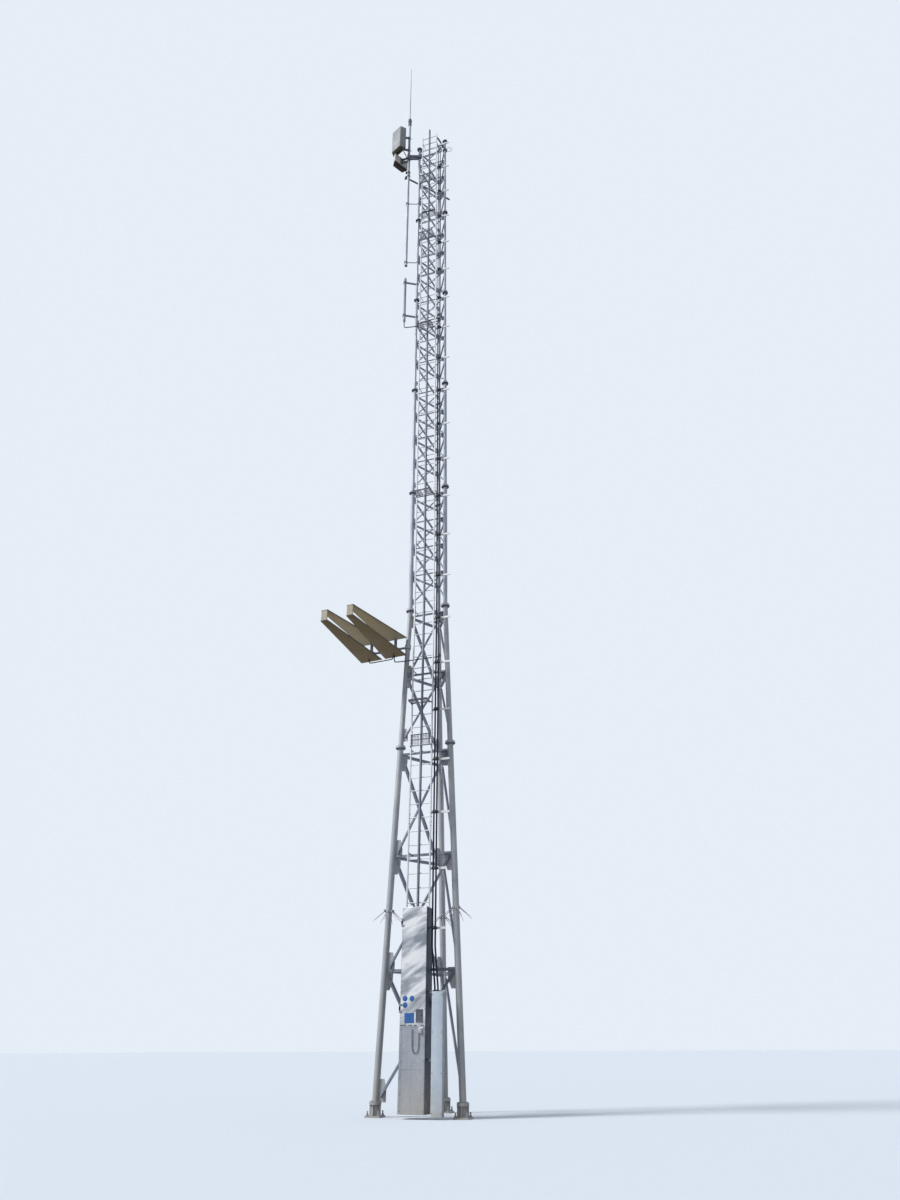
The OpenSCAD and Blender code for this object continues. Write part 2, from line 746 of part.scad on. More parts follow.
// Ring of a swept tube at one point of its route
function tube_dir(p, i) = let (a = i > 0 ? p[i] - p[i - 1] : p[1] - p[0],
                               b = i < len(p) - 1 ? p[i + 1] - p[i] : a)
    a / norm(a) + b / norm(b);
function unit(v) = v / norm(v);
function sides_of(dir, up) = let (u = unit(cross(dir, up)), v = unit(cross(dir, u))) [u, v];
module swept_tube(p, r, up) {
    n = 8;
    rings = [for (i = [0 : len(p) - 1]) let (s = sides_of(tube_dir(p, i), up))
        for (j = [0 : n - 1]) p[i] + r * (cos(360 * j / n) * s[0] + sin(360 * j / n) * s[1])];
    last = n * (len(p) - 1);
    polyhedron(rings, concat(
        [[for (j = [0 : n - 1]) n - 1 - j]],
        [for (i = [0 : len(p) - 2], j = [0 : n - 1]) let (a = i * n, k = (j + 1) % n)
            [a + j, a + k, a + n + k, a + n + j]],
        [[for (j = [0 : n - 1]) last + j]]));
}

// Points round a corner at b, on a bend that starts a distance r before it
function bend(a, b, c, r) = let (u = unit(a - b), v = unit(c - b), q = b + (u + v) * r / 4)
    norm(u + v) < 0.15 ? [b] : [b + u * r, q, b + v * r];
function rounded(p, r) = concat([p[0]],
    [for (i = [1 : len(p) - 2]) for (q = bend(p[i - 1], p[i], p[i + 1], r)) q], [p[len(p) - 1]]);

// Place under the lower fin of a log antenna, a distance from its back
function under_fin(i, along, drop) = log_root(i)
    + along * [cos(log_bearing), sin(log_bearing), 0]
    - [0, 0, log_back_h / 2 + log_fin_t / 2 - (along - cable_d / 2) * tan(log_tilt) + drop];

route_whip = concat(run_up(0, 1, crossing_z),
    [by_pole(64, 300, crossing_z), by_pole(64, 300, pole_top_z - 250),
     by_pole(pole_close, 300, pole_top_z - 120), by_pole(pole_close, 300, pole_top_z - 0.3)]);
route_panel = concat(run_up(1, 1, crossing_z - 50),
    [by_pole(76, 277, crossing_z - 50), by_pole(286, 258, panel_upper_z - 200),
     by_pole(286, 258, panel_upper_z - 0.3)]);
route_tube = concat(run_up(0, 0, tube_low_z - 220),
    [[tube_at.x, tube_at.y, tube_low_z - 220], [tube_at.x, tube_at.y, tube_low_z - 30.3]]);
route_log = concat(run_up(1, 0, log_z - 350), [under_fin(0, 60, 140), under_fin(0, 60, 0.4)]);
route_log_link = [under_fin(0, 110, 0.4), under_fin(0, 110, 90), under_fin(1, 110, 90), under_fin(1, 110, 0.4)];

module feeder_cables() {
    color([0.1, 0.1, 0.14])
        for (route = [route_whip, route_panel, route_tube, route_log, route_log_link])
            swept_tube(rounded(route, 60), cable_d / 2, [0.3, 0.2, 0.1]);
}

// Spiked collars round the legs
module spike_collars() {
    r = leg_d_base / 2 + hinge_play;
    color("gray") for (k = [0 : 2]) on_leg(k, collar_z) {
        ring(r, r + 8, 50);
        for (i = [0 : collar_prongs - 1]) rotate([0, 0, 360 * (i + 0.5) / collar_prongs])
            translate([r + 4, 0, 10]) rotate([0, 90 + prong_slope, 0])
                cylinder(h = collar_reach, d1 = prong_d, d2 = prong_d / 3);
    }
}

// Antenna pole
module antenna_pole() {
    color("lightgray") translate([pole_at.x, pole_at.y, pole_low_z]) {
        difference() {
            cylinder(h = pole_top_z - pole_low_z, d = pole_d);
            translate([0, 0, 8]) cylinder(h = pole_top_z - pole_low_z - 16, d = pole_d - 8);
        }
        translate([0, 0, -24]) cylinder(h = 24 + eps, d = pole_d + 6);
    }
}

// A bar with a clamp ring at each end, between a leg and a pole beside it
module clamp_arm(z, h, t, leg_r, pole_r, reach, bearing, wall) {
    translate(leg_at(0, z)) rotate([0, 0, bearing]) {
        ring(leg_r + hinge_play, leg_r + hinge_play + wall, h);
        translate([reach, 0, 0]) ring(pole_r + hinge_play, pole_r + hinge_play + wall, h);
        translate([leg_r + wall / 2 + hinge_play, -t / 2, -h / 2])
            cube([reach - leg_r - pole_r - wall - 2 * hinge_play, t, h]);
    }
}

module pole_arms() {
    slim = leg_d_slim / 2;
    color("dimgray") {
        for (z = pole_arm_z)
            clamp_arm(z, 16, 16, slim, pole_d / 2, pole_reach, pole_bearing, 9);
        for (z = [pole_double_z - pole_double_half, pole_double_z + pole_double_half])
            clamp_arm(z, 50, 50, slim, pole_d / 2, pole_reach, pole_bearing, 12);
        for (z = [tube_low_z + 200, tube_low_z + tube_l - 150])
            clamp_arm(z, 40, 30, slim, tube_d / 2, tube_reach, tube_bearing, 9);
    }
}

module whip_antenna() {
    color("darkslategray") translate([pole_at.x, pole_at.y, pole_top_z]) {
        cylinder(h = whip_base_h, d = whip_base_d);
        translate([0, 0, whip_base_h - eps]) cylinder(h = whip_l - whip_base_h, d = whip_d);
    }
}

// A panel antenna with its slanting brackets and their clamps on the pole
module panel_antenna(z, h, bearing, shift, clamps) {
    back = pole_d / 2 + panel_standoff;
    translate([pole_at.x, pole_at.y, 0]) rotate([0, 0, bearing]) {
        translate([back, shift, z]) linear_extrude(h)
            polygon([[0, -panel_back / 2], [panel_rim, -panel_back / 2],
                     [panel_depth, -panel_front / 2], [panel_depth, panel_front / 2],
                     [panel_rim, panel_back / 2], [0, panel_back / 2]]);
        for (clamp_z = clamps) translate([0, 0, clamp_z]) {
            ring(pole_d / 2 + hinge_play, pole_d / 2 + hinge_play + 10, 44);
            hull() {
                translate([pole_d / 2 + 5, -26, -18]) cube([6, 52, 36]);
                translate([back - 6, shift - 26, -18]) cube([7, 52, 36]);
            }
        }
    }
}

module upper_panel_antenna() {
    color("lightgray")
        panel_antenna(panel_upper_z, panel_upper_h, panel_upper_bearing, -panel_upper_shift,
                      [panel_upper_z + panel_upper_h * 0.2, panel_upper_z + panel_upper_h * 0.8]);
}

module lower_panel_antenna() {
    color("tan")
        panel_antenna(panel_lower_z, panel_lower_h, panel_lower_bearing, panel_lower_shift,
                      [pole_double_z - 140, pole_double_z]);
}

module tube_antenna() {
    color("slategray") translate([tube_at.x, tube_at.y, tube_low_z]) {
        cylinder(h = tube_l, d = tube_d);
        translate([0, 0, -30]) cylinder(h = 30 + eps, d = tube_d * 0.7);
    }
}

// Cross boom from the antenna pole to the rear leg
module cross_boom() {
    rear = leg_at(2, boom_z);
    run = [rear.x - pole_at.x, rear.y - pole_at.y];
    bearing = atan2(run.y, run.x);
    side_step = (pole_d + boom_d) / 2 + 12;
    rear_step = (leg_d_slim + boom_d) / 2 + 12;
    from = [pole_at.x, pole_at.y] + side_step * [-sin(bearing), cos(bearing)];
    to = [rear.x, rear.y] + rear_step * [-sin(bearing), cos(bearing)];
    line = to - from;
    turn = atan2(line.y, line.x);
    color("dimgray") {
        translate([from.x, from.y, boom_z]) rotate([0, 0, turn]) translate([-boom_left, 0, 0])
            rotate([0, 90, 0]) cylinder(h = norm(line) + boom_left + boom_right, d = boom_d);
        translate([pole_at.x, pole_at.y, boom_z]) rotate([0, 0, bearing + 90])
            boom_clamp(pole_d / 2, side_step);
        translate([rear.x, rear.y, boom_z]) rotate([0, 0, bearing + 90])
            boom_clamp(leg_d_slim / 2, rear_step);
    }
}

module boom_clamp(r, step) {
    ring(r + hinge_play, r + hinge_play + 10, 60);
    translate([r + 5, -30, -30]) cube([step - r - 5, 60, 60]);
}

// Log antennas on the left leg
module log_support() {
    r = leg_d_taper / 2;
    color("gray") {
        on_leg(0, log_z) ring(r + hinge_play, r + hinge_play + 12, 90);
        translate(leg_at(0, log_z)) rotate([0, 0, log_side]) translate([r + 8, 0, 0]) rotate([0, 90, 0])
            cylinder(h = log_near + log_pitch + 90 - r - 8, d = log_tube_d);
    }
}

module log_antenna(i) {
    step = log_stand;
    translate(log_root(i)) rotate([0, 0, log_bearing]) {
        for (s = [-1, 1]) translate([0, 0, s * log_back_h / 2]) rotate([0, s * log_tilt, 0])
            translate([0, 0, -log_fin_t / 2]) linear_extrude(log_fin_t)
                polygon([[0, -log_back_w / 2], [log_l, -log_tip_w / 2],
                         [log_l, log_tip_w / 2], [0, log_back_w / 2]]);
        translate([log_l - log_fin_t, -log_tip_w / 2, -log_tip_h / 2])
            cube([log_fin_t, log_tip_w, log_tip_h]);
        // Back yoke with its clamp on the support tube
        translate([0, -25, -log_back_h / 2]) cube([40, 50, log_back_h]);
        translate([-step, 0, 0]) rotate([90, 0, 0]) ring(log_tube_d / 2 + hinge_play, log_tube_d / 2 + 10, 60);
        translate([-step + log_tube_d / 2 + 5, -25, -25]) cube([step - log_tube_d / 2 + 5, 50, 50]);
    }
}

module near_log_antenna() {
    color("tan") log_antenna(0);
}

module far_log_antenna() {
    color("tan") log_antenna(1);
}

foot(0);  // left_foot
foot(1);  // right_foot
foot(2);  // rear_foot
leg_lower(0);  // left_leg_lower
leg_lower(1);  // right_leg_lower
leg_lower(2);  // rear_leg_lower
leg_shaft(0);  // left_leg_shaft
leg_shaft(1);  // right_leg_shaft
leg_shaft(2);  // rear_leg_shaft
bracing_lower(0);  // front_bracing_lower
bracing_lower(1);  // right_bracing_lower
bracing_lower(2);  // left_bracing_lower
bracing_shaft(0);  // front_bracing_shaft
bracing_shaft(1);  // right_bracing_shaft
bracing_shaft(2);  // left_bracing_shaft
ladder_lower();
ladder_shaft();
fall_arrest_rail();
ladder_brackets();
platform_lugs();
platform(0);  // platform_1
platform(1);  // platform_2
platform(2);  // platform_3
platform(3);  // platform_4
platform(4);  // platform_5
platform(5);  // platform_6
platform(6);  // platform_7
guard_sides();
guard_lower_panel();
guard_door();
cable_bars();
cable_cleats();
cable_cover();
feeder_cables();
spike_collars();
antenna_pole();
pole_arms();
whip_antenna();
upper_panel_antenna();
lower_panel_antenna();
tube_antenna();
cross_boom();
log_support();
near_log_antenna();
far_log_antenna();
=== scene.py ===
import math
import bpy
from mathutils import Matrix, Vector, noise


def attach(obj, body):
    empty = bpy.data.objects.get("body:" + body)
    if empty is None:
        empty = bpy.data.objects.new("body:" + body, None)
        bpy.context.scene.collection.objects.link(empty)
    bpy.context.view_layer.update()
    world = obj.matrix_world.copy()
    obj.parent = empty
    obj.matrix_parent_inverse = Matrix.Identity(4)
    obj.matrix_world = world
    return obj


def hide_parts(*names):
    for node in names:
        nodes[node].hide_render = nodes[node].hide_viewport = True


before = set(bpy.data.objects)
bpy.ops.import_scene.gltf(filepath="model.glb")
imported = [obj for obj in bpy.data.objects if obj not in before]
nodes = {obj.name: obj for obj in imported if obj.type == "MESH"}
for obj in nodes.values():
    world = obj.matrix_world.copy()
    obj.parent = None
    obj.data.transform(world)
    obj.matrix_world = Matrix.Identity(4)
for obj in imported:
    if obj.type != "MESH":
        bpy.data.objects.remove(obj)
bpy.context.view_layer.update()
print("frame loaded,", len(nodes), "nodes")

# the tower's own measures, as the part has them, in metres
tower = {
    "footSide": 1.5, "shaftSide": 0.775, "footHeight": 0.2, "baseHeight": 6.2, "kneeHeight": 9.2,
    "topHeight": 24.2, "sectionHeight": 3.0, "sections": 5,
    "flangeHeights": [0.2, 6.2, 9.2, 12.2, 15.2, 18.2, 21.2],
    "legDiameters": [0.1143, 0.1143, 0.1016, 0.0889, 0.0761, 0.0603, 0.0603],
    "legAngles": [210, 330, 90],
}
legNames = ["left", "right", "rear"]
faceNames = ["front", "right", "left"]
rootThree = math.sqrt(3)
axisX, axisY = tower["footSide"] / 2, tower["footSide"] / (2 * rootThree)
splay = (tower["footSide"] - tower["shaftSide"]) / (tower["kneeHeight"] - tower["footHeight"])
faceLean, legLean = math.atan(splay / (2 * rootThree)), math.atan(splay / rootThree)


def move(x, y, z):
    return Matrix.Translation((x, y, z))


def turnAbout(degrees, axis):
    return Matrix.Rotation(math.radians(degrees), 4, axis)


def bearingOf(degrees):
    return Vector((math.cos(math.radians(degrees)), math.sin(math.radians(degrees)), 0))


def sideAt(height):
    return tower["shaftSide"] + splay * max(0, tower["kneeHeight"] - height)


def leanAt(height):
    return faceLean if height < tower["kneeHeight"] else 0


def legAt(leg, height):
    radius, turn = sideAt(height) / rootThree, math.radians(tower["legAngles"][leg])
    return Vector((axisX + radius * math.cos(turn), axisY + radius * math.sin(turn), height))


def faceFrame(face, height):
    # X along the face, Y up it, Z outwards
    middle = move(0, -sideAt(height) / (2 * rootThree), height)
    return (move(axisX, axisY, 0) @ turnAbout(120 * face, "Z") @ middle
        @ Matrix.Rotation(math.pi / 2 - leanAt(height), 4, "X"))


def facePoint(x, height, out):
    # a point of the front face's frame
    lean = leanAt(height)
    return Vector((axisX + x, axisY - sideAt(height) / (2 * rootThree) - out * math.cos(lean),
        height + out * math.sin(lean)))


# modelling helpers
def deselectAll():
    if bpy.context.mode != "OBJECT":
        bpy.ops.object.mode_set(mode="OBJECT")
    bpy.ops.object.select_all(action="DESELECT")


def takeUp(piece):
    deselectAll()
    piece.select_set(True)
    bpy.context.view_layer.objects.active = piece


def settle(piece):
    takeUp(piece)
    bpy.ops.object.transform_apply(location=True, rotation=True, scale=True)
    return piece


def addShape(name, maker, place=None, **settings):
    deselectAll()
    maker(**settings)
    piece = bpy.context.object
    piece.name = name
    if place:
        piece.data.transform(place)
    return piece


def modify(piece, kind, **settings):
    takeUp(piece)
    modifier = piece.modifiers.new(kind.lower(), kind)
    for key, value in settings.items():
        setattr(modifier, key, value)
    bpy.ops.object.modifier_apply(modifier=modifier.name)
    return piece


def softEdges(piece, width, segments=2, angle=35):
    return modify(piece, "BEVEL", width=width, segments=segments, limit_method="ANGLE",
        angle_limit=math.radians(angle))


def smoothShade(piece, angle=35):
    takeUp(piece)
    bpy.ops.object.shade_smooth_by_angle(angle=math.radians(angle))
    return piece


def addBox(name, low, high, soft=0, segments=2):
    middle = [(a + b) / 2 for a, b in zip(low, high)]
    piece = addShape(name, bpy.ops.mesh.primitive_cube_add, size=1, location=middle)
    piece.scale = [b - a for a, b in zip(low, high)]
    settle(piece)
    return softEdges(piece, soft, segments) if soft else piece


def addRod(name, radius, length, sides, place):
    return addShape(name, bpy.ops.mesh.primitive_cylinder_add, place, vertices=sides, radius=radius,
        depth=length)


def addRing(name, radius, wire, sides, wireSides):
    return addShape(name, bpy.ops.mesh.primitive_torus_add, major_radius=radius, minor_radius=wire,
        major_segments=sides, minor_segments=wireSides)


def addCollar(inner, outer, height, place):
    piece = addShape("collar", bpy.ops.mesh.primitive_cylinder_add, vertices=24, radius=inner, depth=height,
        end_fill_type="NOTHING")
    modify(piece, "SOLIDIFY", thickness=outer - inner, offset=1)
    softEdges(piece, 0.0015, 1).data.transform(place)
    return smoothShade(piece)


def joinAll(name, pieces):
    deselectAll()
    for piece in pieces:
        piece.select_set(True)
    bpy.context.view_layer.objects.active = pieces[0]
    if len(pieces) > 1:
        bpy.ops.object.join()
    bpy.context.object.name = name
    return bpy.context.object


def scatter(shape, places):
    # one piece of many copies, under the shape's own name
    name, copies = shape.name, []
    for place in places:
        twin = shape.copy()
        twin.data = shape.data.copy()
        twin.data.transform(place)
        bpy.context.scene.collection.objects.link(twin)
        copies.append(twin)
    bpy.data.objects.remove(shape)
    return joinAll(name, copies)


def pickFaces(piece, chosen):
    # selects the faces whose normal is chosen and stays in edit mode
    takeUp(piece)
    bpy.context.tool_settings.mesh_select_mode = (False, False, True)
    for part in (piece.data.vertices, piece.data.edges):
        part.foreach_set("select", [False] * len(part))
    for face in piece.data.polygons:
        face.select = bool(chosen(face.normal))
    bpy.ops.object.mode_set(mode="EDIT")


def endEdit():
    bpy.ops.object.mode_set(mode="OBJECT")


def taper(piece, chosen, scale, centre):
    pickFaces(piece, chosen)
    bpy.ops.transform.resize(value=scale, center_override=centre)
    endEdit()


def hollow(piece, chosen, rim, depth):
    pickFaces(piece, chosen)
    bpy.ops.mesh.inset(thickness=rim, use_individual=True)
    bpy.ops.mesh.extrude_region_shrink_fatten(TRANSFORM_OT_shrink_fatten={"value": -depth})
    endEdit()


def sweepTube(name, points, radius, sides=10, closed=False):
    curve = bpy.data.curves.new(name, "CURVE")
    curve.dimensions = "3D"
    curve.bevel_depth = radius
    curve.bevel_resolution = max(0, sides // 4 - 1)
    curve.use_fill_caps = not closed
    spline = curve.splines.new("POLY")
    spline.points.add(len(points) - 1)
    for point, place in zip(spline.points, points):
        point.co = (*place, 1)
    spline.use_cyclic_u = closed
    piece = bpy.data.objects.new(name, curve)
    bpy.context.scene.collection.objects.link(piece)
    takeUp(piece)
    bpy.ops.object.convert(target="MESH")
    return smoothShade(bpy.context.object, 50)


def roundCorners(points, radius, steps=6):
    # the same route with an arc-like bend at each inner point
    route = [points[0]]
    for before, corner, after in zip(points, points[1:], points[2:]):
        inward, outward = (before - corner).normalized(), (after - corner).normalized()
        if (inward + outward).length < 0.1:
            route.append(corner)
            continue
        for step in range(steps + 1):
            t = step / steps
            route.append(corner + inward * radius * (1 - t) ** 2 + outward * radius * t ** 2)
    return route + [points[-1]]


def turned(name, profile, sides=20, place=None):
    # a round shape drawn up ring by ring from its (radius, height) points
    radius, height = profile[0]
    piece = addShape(name, bpy.ops.mesh.primitive_circle_add, vertices=sides, radius=radius,
        location=(0, 0, height), fill_type="NGON")
    settle(piece)
    bpy.ops.object.mode_set(mode="EDIT")
    bpy.ops.mesh.select_all(action="SELECT")
    bpy.ops.mesh.flip_normals()
    for newRadius, newHeight in profile[1:]:
        bpy.ops.mesh.extrude_region_move(TRANSFORM_OT_translate={"value": (0, 0, newHeight - height)})
        bpy.ops.transform.resize(value=(newRadius / radius, newRadius / radius, 1),
            center_override=(0, 0, newHeight))
        radius, height = newRadius, newHeight
    bpy.ops.mesh.select_all(action="SELECT")
    bpy.ops.mesh.normals_make_consistent(inside=False)
    endEdit()
    if place:
        piece.data.transform(place)
    return smoothShade(piece)


def makePin(name, tip, radius, half, chamfer, place, middle=0):
    shoulder = half - chamfer
    return turned(name, [(tip, middle - half), (radius, middle - shoulder), (radius, middle + shoulder),
        (tip, middle + half)], 16, place)


def makeBolt(name, flats, grip):
    # head and washer stand on the plate at z = 0, the nut is under it, a grip lower
    corner, washer, head, nut = flats / rootThree, flats * 0.1, flats * 0.42, flats * 0.55
    return joinAll(name, [addRod(name, corner * 1.15, washer, 12, move(0, 0, washer / 2)),
        turned(name, [(corner, washer), (corner, washer + head * 0.8), (corner * 0.86, washer + head)], 6),
        addRod(name, corner, nut, 6, move(0, 0, -grip - nut / 2)),
        addRod(name, flats * 0.3, nut * 1.5, 8, move(0, 0, -grip - nut * 0.75))])


def settleOn(piece, slot, look, *replaced, place=None, body="tower"):
    if place:
        piece.data.transform(place)
    piece.data.materials.clear()
    piece.data.materials.append(finish[look])
    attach(piece, body)
    if replaced:
        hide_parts(*replaced)


def settleAll(name, pieces, slot, look, **settings):
    settleOn(joinAll(name, pieces), slot, look, **settings)


def boltOn(name, flats, grip, places, slot="galvanised_steel", look="boltZinc"):
    settleOn(scatter(makeBolt(name, flats, grip), places), slot, look)


# camera, where the photograph was taken from
photoCamera = {
    "place": (6.37533, -15.0359, 1.006),
    "right": (0.94720451, 0.32061486, -0.00311719),
    "up": (0.14970474, -0.43363924, 0.88856373),
    "forward": (-0.283535, 0.84211824, 0.45874261),
    "focalPixels": 866, "framePixels": 1200, "sensor": 36, "farClip": 600,
}
lens = bpy.data.cameras.new("photoCamera")
lens.sensor_width = photoCamera["sensor"]
lens.lens = photoCamera["focalPixels"] / photoCamera["framePixels"] * photoCamera["sensor"]
lens.clip_end = photoCamera["farClip"]
viewer = bpy.data.objects.new("photoCamera", lens)
bpy.context.scene.collection.objects.link(viewer)
columns = [Vector(photoCamera["right"]), Vector(photoCamera["up"]), -Vector(photoCamera["forward"])]
viewer.matrix_world = (Matrix.Translation(photoCamera["place"])
    @ Matrix([list(row) for row in zip(*columns)]).to_4x4())
bpy.context.scene.camera = viewer
print("camera set")


# shader helpers: a value is a number, a colour or another node's socket
def feed(tree, socket, value):
    if isinstance(value, bpy.types.NodeSocket):
        tree.links.new(value, socket)
    else:
        socket.default_value = value


def addNode(tree, kind, **settings):
    node = tree.nodes.new("ShaderNode" + kind)
    for key, value in settings.items():
        if key in node.inputs:
            feed(tree, node.inputs[key], value)
        else:
            setattr(node, key, value)
    return node


def mathNode(tree, operation, first, second):
    node = addNode(tree, "Math", operation=operation)
    feed(tree, node.inputs[0], first)
    feed(tree, node.inputs[1], second)
    return node.outputs[0]


def mapRange(tree, value, *limits):
    node = addNode(tree, "MapRange", Value=value)
    for label, limit in zip(("From Min", "From Max", "To Min", "To Max"), limits):
        feed(tree, node.inputs[label], limit)
    return node.outputs["Result"]


def mixColors(tree, share, first, second):
    node = addNode(tree, "Mix", data_type="RGBA", clamp_factor=True)
    for index, value in ((0, share), (6, first), (7, second)):
        feed(tree, node.inputs[index], value)
    return node.outputs[2]


def noiseOf(tree, place, scale, **settings):
    return addNode(tree, "TexNoise", Vector=place, Scale=scale, **settings).outputs["Fac"]


def stretched(tree, place, **settings):
    return addNode(tree, "Mapping", Vector=place, **settings).outputs["Vector"]


def swing(tree, value, amount):
    return mathNode(tree, "MULTIPLY", mathNode(tree, "SUBTRACT", value, 0.5), amount)


def weighted(tree, first, firstShare, second, secondShare):
    return mathNode(tree, "ADD", mathNode(tree, "MULTIPLY", first, firstShare),
        mathNode(tree, "MULTIPLY", second, secondShare))


def newGroup(name, numbers, outputs=("Tone", "Roughness", "Height")):
    group = bpy.data.node_groups.new(name, "ShaderNodeTree")
    group.interface.new_socket("Vector", in_out="INPUT", socket_type="NodeSocketVector")
    for label, number in numbers.items():
        socket = group.interface.new_socket(label, in_out="INPUT", socket_type="NodeSocketFloat")
        socket.default_value = number
    for label in outputs:
        group.interface.new_socket(label, in_out="OUTPUT", socket_type="NodeSocketFloat")
    return group, group.nodes.new("NodeGroupInput").outputs


def giveOut(group, *values):
    end = group.nodes.new("NodeGroupOutput")
    for socket, value in zip(end.inputs, values):
        group.links.new(value, socket)


# zinc: crystal spangle, cloudy patches and streaks that run down
spangle, given = newGroup("zincSpangle", {"Crystal": 90.0, "Cloud": 1.6, "Streak": 0.5})
here = given["Vector"]
crystals = addNode(spangle, "TexVoronoi", feature="F1", Vector=here, Scale=given["Crystal"])
crystalTone = addNode(spangle, "SeparateColor", Color=crystals.outputs["Color"]).outputs
patches = mapRange(spangle, noiseOf(spangle, here, given["Cloud"], Detail=4.0, Roughness=0.55), 0.3, 0.7,
    0.0, 1.0)
fine = noiseOf(spangle, here, 260.0, Detail=2.0)
streaks = noiseOf(spangle, stretched(spangle, here, Scale=(16.0, 16.0, 0.55)), 1.0, Detail=3.0)
tone = weighted(spangle, crystalTone["Red"], 0.3, patches, 0.7)
giveOut(spangle, mathNode(spangle, "ADD", tone, swing(spangle, streaks, given["Streak"])),
    mapRange(spangle, tone, 0.0, 1.0, 0.62, 0.42), weighted(spangle, fine, 0.4, crystalTone["Green"], 0.6))

# bright sheet: slanting pale and grey stripes are painted reflections of a sheet that bows, brushed grain
# across
paintedReflections, given = newGroup("sheetReflections", {"Slant": 1.0, "Brush": 0.3})
here = given["Vector"]
slanting = stretched(paintedReflections, here, vector_type="TEXTURE", Location=(0.0, 0.0, 0.37),
    Rotation=(0.0, math.radians(-27), 0.0), Scale=(0.85, 1.0, 0.21))
reflectionBands = noiseOf(paintedReflections, slanting, given["Slant"], Detail=4.0, Roughness=0.5, Distortion=0.35)
brush = noiseOf(paintedReflections, stretched(paintedReflections, here, Scale=(4.0, 4.0, 260.0)), 1.0, Detail=2.0)
reflectionTone = mapRange(paintedReflections, reflectionBands, 0.36, 0.57, 0.0, 1.0)
giveOut(paintedReflections, mathNode(paintedReflections, "ADD", reflectionTone, swing(paintedReflections, brush, given["Brush"])),
    mapRange(paintedReflections, reflectionTone, 0.0, 1.0, 0.34, 0.50), brush)

# splashed dust near the ground, fading upwards
splash, given = newGroup("groundSplash", {"Reach": 0.8}, ["Mask"])
splashHeight = addNode(splash, "SeparateXYZ", Vector=given["Vector"]).outputs["Z"]
fade = mapRange(splash, splashHeight, 0.0, given["Reach"], 1.0, 0.0)
giveOut(splash, mathNode(splash, "MULTIPLY", fade, noiseOf(splash, given["Vector"], 7.0, Detail=5.0)))

# chalked plastic and painted sheet: faint rain marks, soft mottling
chalk, given = newGroup("chalkedSurface", {"Mottle": 6.0, "Rain": 0.5})
here = given["Vector"]
mottle = noiseOf(chalk, here, given["Mottle"], Detail=5.0, Roughness=0.6)
rain = noiseOf(chalk, stretched(chalk, here, Scale=(30.0, 30.0, 1.4)), 1.0, Detail=2.0)
chalkTone = mathNode(chalk, "ADD", mapRange(chalk, mottle, 0.3, 0.7, 0.0, 1.0),
    swing(chalk, rain, given["Rain"]))
giveOut(chalk, chalkTone, mapRange(chalk, chalkTone, 0.0, 1.0, 0.62, 0.46),
    noiseOf(chalk, here, 420.0, Detail=2.0))

dustColor = (0.42, 0.36, 0.29, 1)
# painted shade on faces turning downwards: where it starts, where it is full, and its greatest share
underside = {"from": 0.25, "full": -0.6, "share": 0.94}


def placeGroup(tree, group, place, numbers):
    node = addNode(tree, "Group", node_tree=group)
    for socket, value in zip(node.inputs, (place, *numbers)):
        feed(tree, socket, value)
    return node.outputs


def makeFinish(name, group, numbers, dark, light, metallic, bump, dusty=0, under=None,
        underFrom=underside["from"], specular=0.5):
    # the colour given for faces turning downwards is painted shade, mixed in more as they turn further down
    material = bpy.data.materials.new(name)
    material.use_nodes = True
    tree = material.node_tree
    source = addNode(tree, "TexCoord").outputs
    pattern = placeGroup(tree, group, source["Object"], numbers)
    color = mixColors(tree, pattern["Tone"], (*dark, 1), (*light, 1))
    if dusty:
        mask = placeGroup(tree, splash, source["Object"], [dusty])["Mask"]
        color = mixColors(tree, mask, color, dustColor)
    # painted shade: faces turning downwards take on the given dark colour
    if under:
        facing = addNode(tree, "SeparateXYZ", Vector=source["Normal"]).outputs["Z"]
        mask = mapRange(tree, facing, underFrom, underside["full"], 0.0, underside["share"])
        color = mixColors(tree, mask, color, (*under, 1))
    relief = addNode(tree, "Bump", Strength=bump, Distance=0.001, Height=pattern["Height"])
    for label, value in {"Base Color": color, "Roughness": pattern["Roughness"], "Metallic": metallic,
            "Specular IOR Level": specular, "Normal": relief.outputs["Normal"]}.items():
        feed(tree, tree.nodes["Principled BSDF"].inputs[label], value)
    return material
